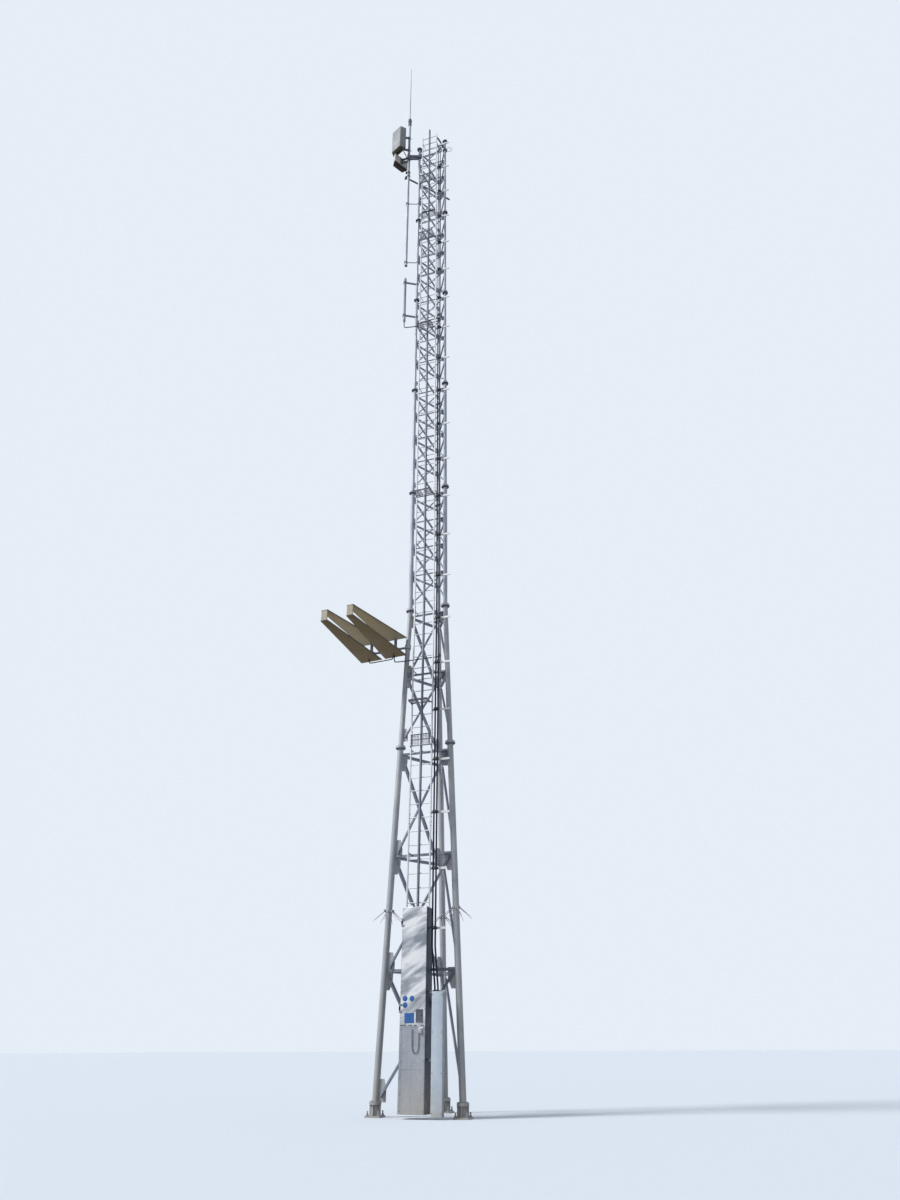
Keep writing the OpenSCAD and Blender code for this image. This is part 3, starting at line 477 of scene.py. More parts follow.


# each look: its group's numbers, dark and light colour, metallic, bump, and what only some looks have
# painted shade: faces of the legs, leg shafts and bolts that turn downwards go near black, like flange
# discs seen from below
coldPaintedShade = {"under": (0.05, 0.055, 0.065), "underFrom": -0.3}
looks = {
    "zincSpangle": {
        "legZinc": ((90, 1.6, 0.5), (0.33, 0.35, 0.37), (0.52, 0.53, 0.54), 0.2, 0.2,
                    {"dusty": 0.9, **coldPaintedShade}),
        "shaftZinc": ((90, 1.6, 0.5), (0.36, 0.39, 0.46), (0.56, 0.60, 0.67), 0.15, 0.2,
                      {"under": (0.045, 0.05, 0.062), "underFrom": -0.3}),
        "braceZinc": ((120, 3.0, 0.3), (0.17, 0.19, 0.24), (0.31, 0.34, 0.40), 0.25, 0.2),
        "boltZinc": ((200, 9.0, 0.2), (0.22, 0.24, 0.28), (0.37, 0.40, 0.45), 0.35, 0.1, coldPaintedShade),
        "plateZinc": ((110, 4.0, 0.3), (0.24, 0.25, 0.27), (0.38, 0.39, 0.41), 0.3, 0.2),
        "shaftBrace": ((120, 3.0, 0.3), (0.24, 0.27, 0.34), (0.41, 0.45, 0.53), 0.2, 0.2),
        "darkZinc": ((120, 3.0, 0.3), (0.085, 0.095, 0.115), (0.17, 0.185, 0.21), 0.35, 0.15),
        # the guard's side sheets are its aluminium painted near black: painted shade; the dust near the
        # ground is real
        "shadedSideSheet": ((26, 2.0, 0.9), (0.03, 0.038, 0.06), (0.065, 0.078, 0.11), 0.1, 0.06,
                      {"dusty": 0.8, "specular": 0.25}),
        "millAluminium": ((30, 2.2, 0.8), (0.60, 0.61, 0.63), (0.80, 0.81, 0.82), 0.35, 0.06,
                         {"dusty": 0.6}),
        "guardAluminium": ((26, 2.0, 0.9), (0.30, 0.33, 0.37), (0.46, 0.48, 0.51), 0.4, 0.06,
                          {"dusty": 0.8}),
    },
    # the door's slanting pale and grey stripes are painted reflections; the brushed grain is real
    "sheetReflections": {"doorAluminium": ((1.5, 0.25), (0.27, 0.30, 0.34), (0.84, 0.85, 0.86), 0.3, 0.04)},
    "chalkedSurface": {
        "coverPaint": ((5.0, 0.7), (0.50, 0.58, 0.67), (0.64, 0.71, 0.79), 0.0, 0.03, {"dusty": 0.5}),
        "blackPlastic": ((12, 0.2), (0.012, 0.013, 0.018), (0.035, 0.036, 0.042), 0.0, 0.1,
                        {"specular": 0.25}),
        "cableJacket": ((9, 0.3), (0.012, 0.014, 0.030), (0.032, 0.036, 0.065), 0.0, 0.08,
                       {"specular": 0.25}),
        "whipGlass": ((8, 0.4), (0.17, 0.19, 0.24), (0.27, 0.30, 0.37), 0.0, 0.05),
        "whipBase": ((8, 0.4), (0.10, 0.11, 0.145), (0.18, 0.195, 0.245), 0.0, 0.05),
        "greyRadome": ((3, 0.6), (0.30, 0.315, 0.33), (0.405, 0.425, 0.44), 0.0, 0.05, {"specular": 0.12}),
        "tubeRadome": ((4, 0.5), (0.33, 0.36, 0.44), (0.46, 0.50, 0.59), 0.0, 0.05, {"specular": 0.2}),
        "beigeRadome": ((2.2, 0.6), (0.68, 0.66, 0.61), (0.84, 0.82, 0.77), 0.0, 0.05, {"specular": 0.15}),
        # the fins' downward faces are painted shade: olive-brown on the lower fins, as if warmed by light
        # from the ground, lighter on the top fins, as if lit by light thrown up from the lower fins
        "shadedFin": ((2.2, 0.6), (0.50, 0.46, 0.38), (0.64, 0.60, 0.51), 0.0, 0.05,
                     {"under": (0.36, 0.245, 0.10), "specular": 0.2}),
        "bounceLitFin": ((2.2, 0.6), (0.50, 0.46, 0.38), (0.64, 0.60, 0.51), 0.0, 0.05,
                    {"under": (0.52, 0.43, 0.27), "specular": 0.2}),
        "capOlive": ((14, 0.2), (0.14, 0.13, 0.09), (0.22, 0.20, 0.145), 0.0, 0.1, {"specular": 0.2}),
        "capBrown": ((14, 0.2), (0.065, 0.042, 0.036), (0.12, 0.08, 0.068), 0.0, 0.1, {"specular": 0.2}),
        "edgeBrown": ((10, 0.2), (0.055, 0.048, 0.036), (0.10, 0.088, 0.066), 0.0, 0.1),
        "plateBlue": ((10, 0.4), (0.020, 0.10, 0.34), (0.045, 0.16, 0.45), 0.0, 0.02),
        "plateGrey": ((12, 0.4), (0.075, 0.085, 0.10), (0.13, 0.14, 0.16), 0.2, 0.05),
    },
}
finish = {}
for groupName, rows in looks.items():
    for name, row in rows.items():
        extra = row[5] if len(row) > 5 else {}
        finish[name] = makeFinish(name, bpy.data.node_groups[groupName], *row[:5], **extra)
print("finishes made")

nodeFinish = {
    "legZinc": ["spike_collars", "log_support"]
    + [name + part for name in legNames for part in ("_foot", "_leg_lower")],
    "shaftZinc": ["antenna_pole"] + [name + "_leg_shaft" for name in legNames],
    "braceZinc": ["ladder_brackets", "platform_lugs", "pole_arms", "fall_arrest_rail"]
    + [name + "_bracing_lower" for name in faceNames],
    "shaftBrace": [name + "_bracing_shaft" for name in faceNames],
    "darkZinc": ["cross_boom"],
    "plateZinc": ["platform_%d" % i for i in range(1, 8)],
    "millAluminium": ["ladder_lower", "ladder_shaft", "cable_bars"],
    "guardAluminium": ["guard_lower_panel"],
    "shadedSideSheet": ["guard_sides"],
    "doorAluminium": ["guard_door"],
    "coverPaint": ["cable_cover"],
    "blackPlastic": ["cable_cleats"],
    "cableJacket": ["feeder_cables"],
    "whipGlass": ["whip_antenna"],
    "greyRadome": ["upper_panel_antenna"],
    "tubeRadome": ["tube_antenna"],
    "beigeRadome": ["lower_panel_antenna", "near_log_antenna", "far_log_antenna"],
}
for look, names in nodeFinish.items():
    for name in names:
        for slot in nodes[name].material_slots:
            slot.material = finish[look]
print("nodes dressed")

# bolts that join the leg flanges
flangeBolts = {"flats": 0.024, "thickness": 0.022, "gap": 0.0003, "step": 0.018,
    "counts": [8, 8, 8, 8, 6, 6, 6]}


def flangePlaces(leg):
    rows = zip(tower["flangeHeights"], tower["legDiameters"], flangeBolts["counts"])
    for height, diameter, count in rows:
        seat = move(diameter / 2 + flangeBolts["step"], 0, flangeBolts["thickness"])
        for i in range(count):
            turn = turnAbout(tower["legAngles"][leg] + 360 * i / count, "Z")
            yield Matrix.Translation(legAt(leg, height)) @ turn @ seat


for leg, legName in enumerate(legNames):
    boltOn(legName + "_flange_bolts", flangeBolts["flats"],
        2 * flangeBolts["thickness"] + flangeBolts["gap"], flangePlaces(leg))
print("flange bolts set")

# bolts at the ends of the angle bars; a stretch has its panels, its bar width and its bolts' distances
bracing = {"base": (3, 0.05, [0.028, 0.082]), "taper": (2, 0.045, [0.024, 0.062]),
    "shaft": (4, 0.032, [0.016, 0.042]), "levelMargin": 0.15, "footMargin": 0.045, "room": 0.006,
    "angleThickness": 0.005, "gussetThickness": 0.008, "flats": {"lower": 0.022, "shaft": 0.016}}


def barBolts(face, height, start, end, offsets):
    start, end = Vector(start), Vector(end)
    along = (end - start).normalized()
    across = Vector((-along.y, along.x)) * bracing["angleThickness"] / 2
    surface = bracing["gussetThickness"] / 2 + bracing["angleThickness"]
    for offset in offsets:
        for point in (start + along * offset + across, end - along * offset + across):
            yield faceFrame(face, height) @ move(point.x, point.y, surface)


def panelBolts(face, low, high, diameter, size, offsets):
    lowHalf, highHalf = (sideAt(low) - diameter) / 2, (sideAt(high) - diameter) / 2
    room = bracing["room"]
    rise = (high - low) / math.cos(leanAt(low))
    slope = math.atan2(rise - 2 * size, lowHalf + highHalf - size)
    dx, dy = room + size / 2 * math.sin(slope), size / 2 + room + size / 2 * math.cos(slope)
    yield from barBolts(face, low, (room - highHalf, rise), (highHalf - room, rise), offsets)
    yield from barBolts(face, low, (dx - lowHalf, dy), (highHalf - dx, rise - dy), offsets)


def stretchBolts(face, low, high, diameter, kind, margin="levelMargin"):
    count, size, offsets = bracing[kind]
    first = low + bracing[margin]
    reach = high - first - bracing["levelMargin"]
    stops = [first + reach * i / count for i in range(count + 1)]
    return [place for edges in zip(stops, stops[1:])
        for place in panelBolts(face, *edges, diameter, size, offsets)]


foot, base, knee = tower["footHeight"], tower["baseHeight"], tower["kneeHeight"]
diameters = tower["legDiameters"] + tower["legDiameters"][-1:]
for face, faceName in enumerate(faceNames):
    lower = (stretchBolts(face, foot, base, diameters[1], "base", "footMargin")
        + stretchBolts(face, base, knee, diameters[2], "taper"))
    upper = []
    for i in range(tower["sections"]):
        low = knee + tower["sectionHeight"] * i
        upper += stretchBolts(face, low, low + tower["sectionHeight"], diameters[i + 3], "shaft")
    for part, places in (("lower", lower), ("shaft", upper)):
        boltOn(faceName + "_" + part + "_bolts", bracing["flats"][part],
            bracing["gussetThickness"] + bracing["angleThickness"], places, "bracing_steel", "shaftBrace")
print("bracing bolts set")

# anchor studs with their nuts and washers
anchors = {"pitch": 0.19, "plate": 0.025, "flats": 0.036, "washer": 0.005, "nut": 0.022, "stud": 0.062,
    "studRadius": 0.012, "tipRadius": 0.010, "tip": 0.003}
corner, top = anchors["flats"] / rootThree, anchors["plate"] + anchors["washer"]
nutTop, studTop, radius = top + anchors["nut"], top + anchors["stud"], anchors["studRadius"]
tip = (anchors["tipRadius"], studTop + anchors["tip"])
washerAt, half = anchors["plate"] + anchors["washer"] / 2, anchors["pitch"] / 2
for leg, legName in enumerate(legNames):
    stud = joinAll(legName + "_anchor_nuts", [
        addRod("washer", corner * 1.2, anchors["washer"], 20, move(0, 0, washerAt)),
        turned("nut", [(corner, top), (corner, top + anchors["nut"] * 0.85), (corner * 0.86, nutTop)], 6),
        turned("stud", [(radius, top), (radius, studTop), tip], 12)])
    foot = legAt(leg, tower["footHeight"])
    places = [move(foot.x + x, foot.y + y, 0) for x in (-half, half) for y in (-half, half)]
    settleOn(scatter(stud, places), "galvanised_steel", "boltZinc")
print("anchors set")

# folding foot plates: open gratings with a dark rim, on their hinge rods
plate = {"heights": [6.11, 6.98, 11.9, 16.84, 20.09, 20.87, 22.35], "folded": [1, 6], "hingeOut": 0.266,
    "inset": 0.034, "width": 0.155, "length": 0.22, "gap": 0.012, "holesAcross": 5, "holesAlong": 7,
    "web": 0.0045, "sheet": 0.003, "rim": 0.004, "rimUp": 0.006, "rimDown": 0.013, "hingeRim": 0.008,
    "rod": (0.006, 0.008, 0.218, 0.003), "sleeve": (0.0082, 0.0115, 0.06),
    "sleevesAt": (-0.15, -0.08, 0.08, 0.15), "bar": 0.006, "barDepth": 0.034, "stop": 0.004,
    "stopFrom": 0.016}


def makeGrating(left):
    right, low, high, far = left + plate["width"], -plate["rimUp"], plate["rimDown"], plate["length"]
    grating = addShape("grating", bpy.ops.mesh.primitive_grid_add, x_subdivisions=plate["holesAcross"],
        y_subdivisions=plate["holesAlong"], size=1,
        location=(left + plate["width"] / 2, (far + plate["gap"]) / 2, 0))
    grating.scale = (plate["width"], far - plate["gap"], 1)
    settle(grating)
    bpy.ops.object.mode_set(mode="EDIT")
    bpy.ops.mesh.select_all(action="SELECT")
    bpy.ops.mesh.inset(use_individual=True, thickness=plate["web"])
    bpy.ops.mesh.delete(type="FACE")
    endEdit()
    modify(grating, "SOLIDIFY", thickness=plate["sheet"], offset=0)
    edges = [((left, plate["gap"], low), (left + plate["rim"], far, high)),
        ((right - plate["rim"], plate["gap"], low), (right, far, high)),
        ((left, far - plate["rim"], low), (right, far, high)),
        ((left, 0, low), (right, plate["gap"] + plate["rim"], low + plate["hingeRim"]))]
    return joinAll("grating", [grating] + [addBox("rim", *edge, 0.001, 1) for edge in edges])


for number, height in enumerate(plate["heights"], 1):
    pieces = [makeGrating(plate["inset"]), makeGrating(-plate["inset"] - plate["width"])]
    pieces.append(makePin("rod", *plate["rod"], turnAbout(90, "Y")))
    pieces += [addCollar(*plate["sleeve"], move(x, 0, 0) @ turnAbout(90, "Y")) for x in plate["sleevesAt"]]
    joined = joinAll("rest_plate_%d" % number, pieces)
    half, low, far = plate["inset"] + plate["width"], plate["stop"], plate["length"]
    pieces = [addBox("bar", (-half, far - plate["bar"], -plate["rimUp"]), (half, far, plate["barDepth"]),
        0.0015)]
    for x in (plate["bar"] - half, half - plate["bar"]):
        pieces.append(addBox("stop", (x - low, plate["stopFrom"], low),
            (x + low, far - low, plate["barDepth"]), 0.0012, 1))
    bar = joinAll("rest_plate_bar_%d" % number, pieces)
    fold = turnAbout(-90 if number in plate["folded"] else 0, "X")
    seat = faceFrame(0, height) @ move(0, 0, plate["hingeOut"]) @ fold @ turnAbout(90, "X")
    settleOn(joined, "platform_steel", "plateZinc", "platform_%d" % number, place=seat,
        body="foot_plate_%d" % number)
    settleOn(bar, "platform_steel", "darkZinc", place=seat, body="foot_plate_%d" % number)
print("rest plates made")

# the guard's door: a gently buckled skin on a folded frame
door = {"low": 1.32, "top": 3.16, "out": 0.358, "left": -0.216, "right": 0.224, "sheet": 0.003,
    "buckle": 0.0035, "fadeX": 0.05, "fadeY": 0.08, "across": 22, "up": 84, "frameHalf": 0.212,
    "frameDepth": 0.026, "frameWidth": 0.03, "braceHalf": 0.185, "braceRise": 0.015, "braceDepth": 0.02}
doorPlane = faceFrame(0, door["low"])
doorHeight = (door["top"] - door["low"]) / math.cos(faceLean)
front = door["out"] + door["sheet"]


def buckled(x, y):
    fadeX, fadeY = door["fadeX"], door["fadeY"]
    edge = min(1, (x - door["left"]) / fadeX, (door["right"] - x) / fadeX, y / fadeY,
        (doorHeight - y) / fadeY)
    swell = noise.noise(Vector((x * 3.0 - y * 1.4, y * 2.3 + x * 1.2, 0.7)))
    crease = noise.noise(Vector((x * 7.0 - y * 4.5, y * 3.0, 3.1)))
    return max(0, edge) * door["buckle"] * (0.5 + 0.7 * swell + 0.3 * crease)


skin = addShape("door_skin", bpy.ops.mesh.primitive_grid_add, x_subdivisions=door["across"],
    y_subdivisions=door["up"], size=1, location=((door["left"] + door["right"]) / 2, doorHeight / 2,
    door["out"]))
skin.scale = (door["right"] - door["left"], doorHeight, 1)
settle(skin)
for vertex in skin.data.vertices:
    vertex.co.z += buckled(vertex.co.x, vertex.co.y)
modify(skin, "SOLIDIFY", thickness=door["sheet"], offset=1)
smoothShade(softEdges(skin, 0.001, 2, 60), 30)
settleOn(skin, "bright_sheet", "doorAluminium", "guard_door", place=doorPlane, body="guard_door")

tray = addBox("tray", (-door["frameHalf"], 0, door["out"] - door["frameDepth"]),
    (door["frameHalf"], doorHeight, door["out"]))
pickFaces(tray, lambda normal: normal.z < -0.9)
bpy.ops.mesh.inset(thickness=door["frameWidth"])
bpy.ops.mesh.extrude_region_move(TRANSFORM_OT_translate={"value": (0, 0, door["frameDepth"] - 0.002)})
endEdit()
pieces = [softEdges(tray, 0.002)]
half, rise, back = door["braceHalf"], door["braceRise"], door["out"] - door["braceDepth"]
for y in (doorHeight / 3, doorHeight * 2 / 3):
    pieces.append(addBox("brace", (-half, y - rise, back), (half, y + rise, door["out"] - 0.001), 0.002))
settleAll("door_frame", pieces, "bright_sheet", "guardAluminium", place=doorPlane, body="guard_door")

# hinge pins on straps
hinge = {"pinX": -0.233, "out": 0.364, "in": 0.25, "pin": (0.0045, 0.006, 0.07, 0.002),
    "strapEnd": -0.186, "strap": 0.04, "strapsAt": (-0.071, 0.031), "back": 0.006, "face": 0.004,
    "boltX": -0.205, "bolt": (0.012, 0.008)}
pieces, pinSeat = [], move(hinge["pinX"], 0, hinge["out"]) @ turnAbout(-90, "X")
for y in (hinge["in"], doorHeight - hinge["in"]):
    pieces.append(makePin("pin", *hinge["pin"], pinSeat, y))
    for low in (y + start for start in hinge["strapsAt"]):
        middle = low + hinge["strap"] / 2
        strap = addBox("strap", (hinge["pinX"], low, hinge["out"] - hinge["back"]),
            (hinge["strapEnd"], low + hinge["strap"], hinge["out"] + hinge["face"]))
        taper(strap, lambda normal: normal.x > 0.9, (1, 0.6, 0.8),
            (hinge["strapEnd"], middle, hinge["out"] - 0.001))
        pieces += [softEdges(strap, 0.0015), makeBolt("strapBolt", *hinge["bolt"])]
        pieces[-1].data.transform(move(hinge["boltX"], middle, hinge["out"] + 0.003))
settleAll("door_hinges", pieces, "bright_sheet", "boltZinc", place=doorPlane, body="guard_door")


def rivetLine(x0, y0, x1, y1, count, z):
    for t in (i / (count - 1) for i in range(count)):
        yield move(x0 + (x1 - x0) * t, y0 + (y1 - y0) * t, z)


# rivets: the lines' ends along the skin's edges, and how many
rivets = {"rim": 0.014, "ends": (-0.2, 0.208), "right": (0.21, 0.12), "left": (-0.202, 0.42),
    "counts": (6, 14, 9), "profile": [(0.0045, 0), (0.004, 0.0016), (0.002, 0.0024)]}
start, end = rivets["ends"]
places = [place for y in (rivets["rim"], doorHeight - rivets["rim"])
    for place in rivetLine(start, y, end, y, rivets["counts"][0], front)]
for (x, margin), count in zip((rivets["right"], rivets["left"]), rivets["counts"][1:]):
    places += rivetLine(x, margin, x, doorHeight - margin, count, front)
settleOn(scatter(turned("door_rivets", rivets["profile"], 10), [doorPlane @ place for place in places]),
    "bright_sheet", "boltZinc", body="guard_door")

# bare discs and plates on the door, tabs along its top
signs = {"discs": [(-0.014, 0.394), (-0.138, 0.396), (-0.135, 0.297)],
    "profile": [(0.0435, 0), (0.0435, 0.0015), (0.0425, 0.002)], "blue": (-0.14, 0.028, 0.031, 0.176),
    "grey": (0.061, 0.036, 0.18, 0.229), "greyThickness": 0.010, "greyRim": 0.012,
    "greySunk": 0.003, "thickness": 0.002, "lift": 0.6, "knobAt": (0.152, 0.146),
    "knob": [(0.014, 0), (0.014, 0.006), (0.009, 0.009), (0.009, 0.014), (0.007, 0.016)]}
signOut = front + door["buckle"] * signs["lift"]
pieces = [turned("disc", signs["profile"], 40, move(x, y, signOut - 0.001)) for x, y in signs["discs"]]
x0, y0, x1, y1 = signs["blue"]
pieces.append(addBox("plate", (x0, y0, front - 0.001), (x1, y1, signOut + signs["thickness"]), 0.0008))
settleAll("door_blue_plates", pieces, "bright_sheet", "plateBlue", place=doorPlane, body="guard_door")
x0, y0, x1, y1 = signs["grey"]
greyBox = addBox("box", (x0, y0, front - 0.001), (x1, y1, signOut + signs["greyThickness"]))
pickFaces(greyBox, lambda normal: normal.z > 0.9)
bpy.ops.mesh.inset(thickness=signs["greyRim"])
bpy.ops.transform.translate(value=(0, 0, -signs["greySunk"]))
endEdit()
pieces = [softEdges(greyBox, 0.002),
    turned("knob", signs["knob"], 20, move(*signs["knobAt"], signOut + 0.006))]
settleAll("door_grey_box", pieces, "bright_sheet", "plateGrey", place=doorPlane, body="guard_door")
tabs = {"at": (-0.075, 0.185), "width": 0.04, "below": 0.012, "above": 0.028, "thickness": 0.003}
pieces = []
for x in tabs["at"]:
    tab = addBox("tab", (x, doorHeight - tabs["below"], door["out"]),
        (x + tabs["width"], doorHeight + tabs["above"], door["out"] + tabs["thickness"]))
    taper(tab, lambda normal: normal.y > 0.9, (0.6, 1, 1), (x + tabs["width"] / 2, 0, door["out"]))
    pieces.append(softEdges(tab, 0.001))
settleAll("door_tabs", pieces, "bright_sheet", "doorAluminium", place=doorPlane, body="guard_door")
print("guard door made")

# the guard's lower panel: ribs, screws, padlock and chain
lowerGuard = {"low": 0.06, "out": 0.35, "lip": 0.02, "ribX": (-0.21, 0.19), "ribTop": 1.30,
    "barHalf": 0.215, "bars": (0.006, 0.68, 1.288), "screwX": (-0.2, 0.2), "screwFrom": 0.05,
    "screwTo": 1.26, "screw": (0.013, 0.004)}
lowerPlane = faceFrame(0, lowerGuard["low"])
outside = lowerGuard["out"]


def upFace(height):
    return (height - lowerGuard["low"]) / math.cos(faceLean)


ribTop, screwTop = upFace(lowerGuard["ribTop"]), upFace(lowerGuard["screwTo"])
half, lip, back = lowerGuard["barHalf"], lowerGuard["lip"], outside - 0.002
pieces = [addBox("rib", (x, 0.01, back), (x + lip, ribTop, outside + 0.003), 0.0012)
    for x in lowerGuard["ribX"]]
for y in (lowerGuard["bars"][0], *map(upFace, lowerGuard["bars"][1:])):
    pieces.append(addBox("rib", (-half, y, back), (half, y + lip, outside + 0.0025), 0.0012))
settleAll("lower_panel_trim", pieces, "guard_sheet", "guardAluminium", place=lowerPlane)
places = [place for x in lowerGuard["screwX"]
    for place in rivetLine(x, lowerGuard["screwFrom"], x, screwTop, 6, outside + 0.003)]
boltOn("lower_panel_screws", *lowerGuard["screw"], [lowerPlane @ place for place in places], "guard_sheet")

padlock = {"left": 0.12, "low": 1.196, "right": 0.173, "top": 1.262, "shackle": (0.017, 0.026, 0.0045),
    "hasp": 0.012}
x0, x1, top = padlock["left"], padlock["right"], upFace(padlock["top"])
width, rise, wire = padlock["shackle"]
lockBody = addBox("body", (x0, upFace(padlock["low"]), outside + 0.003), (x1, top - 0.018, outside + 0.03),
    0.004, 3)
arc = [bearingOf(angle) for angle in range(0, 181, 15)]
arc = [Vector(((x0 + x1) / 2 + width * point.x, top - 0.014 + rise * point.y, outside + 0.016))
    for point in arc]
hasp = addBox("hasp", (x0 - padlock["hasp"], top - 0.012, outside + 0.002),
    (x1 + padlock["hasp"], top + 0.03, outside + 0.007), 0.0015)
settleAll("padlock", [lockBody, sweepTube("shackle", arc, wire, 12), hasp], "bright_sheet", "doorAluminium",
    place=lowerPlane)

chain = {"start": (0.0, 1.262), "end": (0.118, 1.225), "low": 0.915, "out": 0.012, "links": 46,
    "radius": 0.0085, "wire": 0.0022, "overlap": 0.68, "steps": 400, "reach": 3}


def chainPoint(t):
    (startX, startZ), (endX, endZ) = chain["start"], chain["end"]
    level = startZ + (endZ - startZ) * t
    return Vector((startX + (endX - startX) * (3 * t * t - 2 * t ** 3),
        upFace(chain["low"] + (level - chain["low"]) * (2 * t - 1) ** 4), outside + chain["out"]))


line, lengths = [chainPoint(i / chain["steps"]) for i in range(chain["steps"] + 1)], [0.0]
for a, b in zip(line, line[1:]):
    lengths.append(lengths[-1] + (b - a).length)
linkStep = lengths[-1] / chain["links"]
link = addRing("lock_chain", chain["radius"], chain["wire"], 12, 6)
link.data.transform(Matrix.Diagonal((linkStep * chain["overlap"] / chain["radius"], 0.8, 1, 1)))
places = []
for i in range(chain["links"]):
    at = next(j for j, length in enumerate(lengths) if length >= (i + 0.5) * linkStep)
    along = line[min(at + chain["reach"], chain["steps"])] - line[max(at - chain["reach"], 0)]
    turn = Vector((1, 0, 0)).rotation_difference(along.normalized()).to_matrix().to_4x4()
    places.append(lowerPlane @ Matrix.Translation(line[at]) @ turn @ turnAbout(90 * (i % 2), "X"))
settleOn(smoothShade(scatter(link, places), 60), "galvanised_steel", "plateGrey")
print("lock and chain made")

# the guard's side sheets: upright and level folds, near black with painted shade
sideFold = {"x": 0.222, "uprights": (0.066, 0.34), "half": 0.004, "depth": 0.006,
    "levels": (0.02, 1.1, 2.1), "topLevel": 0.03, "levelHalf": 0.0035, "levelRise": 0.01,
    "levelOut": (0.07, 0.345)}
sideHeight = (door["top"] - lowerGuard["low"]) / math.cos(faceLean)
pieces, near, half = [], sideFold["half"], sideFold["levelHalf"]
for x in (-sideFold["x"], sideFold["x"]):
    for out in sideFold["uprights"]:
        pieces.append(addBox("fold", (x - near, near, out - sideFold["depth"]),
            (x + near, sideHeight - near, out + sideFold["depth"]), 0.0015, 1))
    for y in (*sideFold["levels"], sideHeight - sideFold["topLevel"]):
        pieces.append(addBox("fold", (x - half, y - sideFold["levelRise"], sideFold["levelOut"][0]),
            (x + half, y + sideFold["levelRise"], sideFold["levelOut"][1]), 0.0012, 1))
settleAll("guard_side_folds", pieces, "guard_sheet", "shadedSideSheet", place=lowerPlane)
print("guard sides trimmed")

# cable cover: a folded sheet, open behind
cover = {"left": 0.312, "right": 0.507, "low": 0.03, "top": 1.82, "back": 0.212, "front": 0.307,
    "sheet": 0.003, "screwX": (0.33, 0.489), "screwY": (0.05, 0.6, 1.19), "topScrew": 0.05, "strapY": 0.79,
    "topStrap": 0.02, "strap": (0.012, 0.002, 0.012, 0.05), "screw": (0.013, 0.003)}
coverPlane = faceFrame(0, cover["low"])
coverHeight = (cover["top"] - cover["low"]) / math.cos(faceLean)
shell = addBox("cable_cover_shell", (cover["left"], 0, cover["back"]),
    (cover["right"], coverHeight, cover["front"]))
pickFaces(shell, lambda normal: normal.z < -0.9 or abs(normal.y) > 0.9)
bpy.ops.mesh.delete(type="FACE")
endEdit()
softEdges(shell, 0.006, 3)
modify(shell, "SOLIDIFY", thickness=cover["sheet"], offset=-1)
settleOn(smoothShade(shell), "cover_sheet", "coverPaint", "cable_cover", place=coverPlane)
places = [coverPlane @ move(x, y, cover["front"]) for x in cover["screwX"]
    for y in (*cover["screwY"], coverHeight - cover["topScrew"])]
boltOn("cover_screws", *cover["screw"], places, "cover_sheet")
beyond, over, half, depth = cover["strap"]
pieces = [addBox("strap", (cover["left"] - beyond, y - half, cover["back"]),
    (cover["left"] + over, y + half, cover["back"] + depth), 0.0015)
    for y in (cover["strapY"], coverHeight - cover["topStrap"])]
settleAll("cover_straps", pieces, "cover_sheet", "millAluminium", place=coverPlane)
print("cable cover made")

# feeders, along the routes that the part has, and the poles and antennas they lead to
feeders = {"radius": 0.011, "pitch": 0.054, "first": 0.285, "shift": 0.058, "rows": [0.229, 0.259],
    "endHeight": 0.09, "crossOut": 0.095, "crossing": 23.7, "bend": 0.06, "beside": 0.05,
    "aboveCover": 0.06, "straight": 0.7, "tubeDrop": 0.22, "logDrop": 0.35, "jumper": 0.064, "panel": 0.286,
    "plugs": (0.06, 0.11)}
pole = {"top": 25.25, "radius": 0.035, "bearing": 200, "reach": 0.305}
tube = {"low": 17.4, "radius": 0.033, "bearing": 210, "reach": 0.311}
log = {"height": 8.35, "bearing": 265, "near": 0.24, "pitch": 0.56, "stand": 0.075, "length": 1.93,
    "backWidth": 0.47, "tipWidth": 0.13, "backHeight": 0.39, "tipHeight": 0.21, "fin": 0.024,
    "tubeRadius": 0.024}
for mast in (pole, tube):
    mast["place"] = legAt(0, tower["topHeight"]) + mast["reach"] * bearingOf(mast["bearing"])
logTilt = math.degrees(math.atan((log["backHeight"] - log["tipHeight"]) / 2 / log["length"]))


def atHeight(point, height):
    return Vector((point.x, point.y, height))


def logRoot(i):
    aside, ahead = bearingOf(log["bearing"] - 90), bearingOf(log["bearing"])
    return legAt(0, log["height"]) + (log["near"] + i * log["pitch"]) * aside + log["stand"] * ahead


def runUp(column, row, height):
    x, out, cross = feeders["first"] + column * feeders["pitch"], feeders["rows"][row], feeders["crossOut"]
    shifted = x + feeders["shift"]
    stops = [(shifted, feeders["endHeight"], out), (shifted, cover["top"] + feeders["aboveCover"], out),
        (x, cover["top"] + feeders["straight"], out)]
    if height > tower["kneeHeight"]:
        stops.append((x, tower["kneeHeight"], out))
    stops += [(x, height, out), (x, height, cross), (feeders["beside"] - sideAt(height) / 2, height, cross)]
    return [facePoint(*stop) for stop in stops]


def byPole(reach, degrees, height):
    return atHeight(pole["place"] + reach * bearingOf(degrees), height)


def underFin(i, along, hang):
    rise = (along - feeders["radius"]) * math.tan(math.radians(logTilt))
    return (logRoot(i) + along * bearingOf(log["bearing"])
        - Vector((0, 0, log["backHeight"] / 2 + log["fin"] / 2 - rise + hang)))


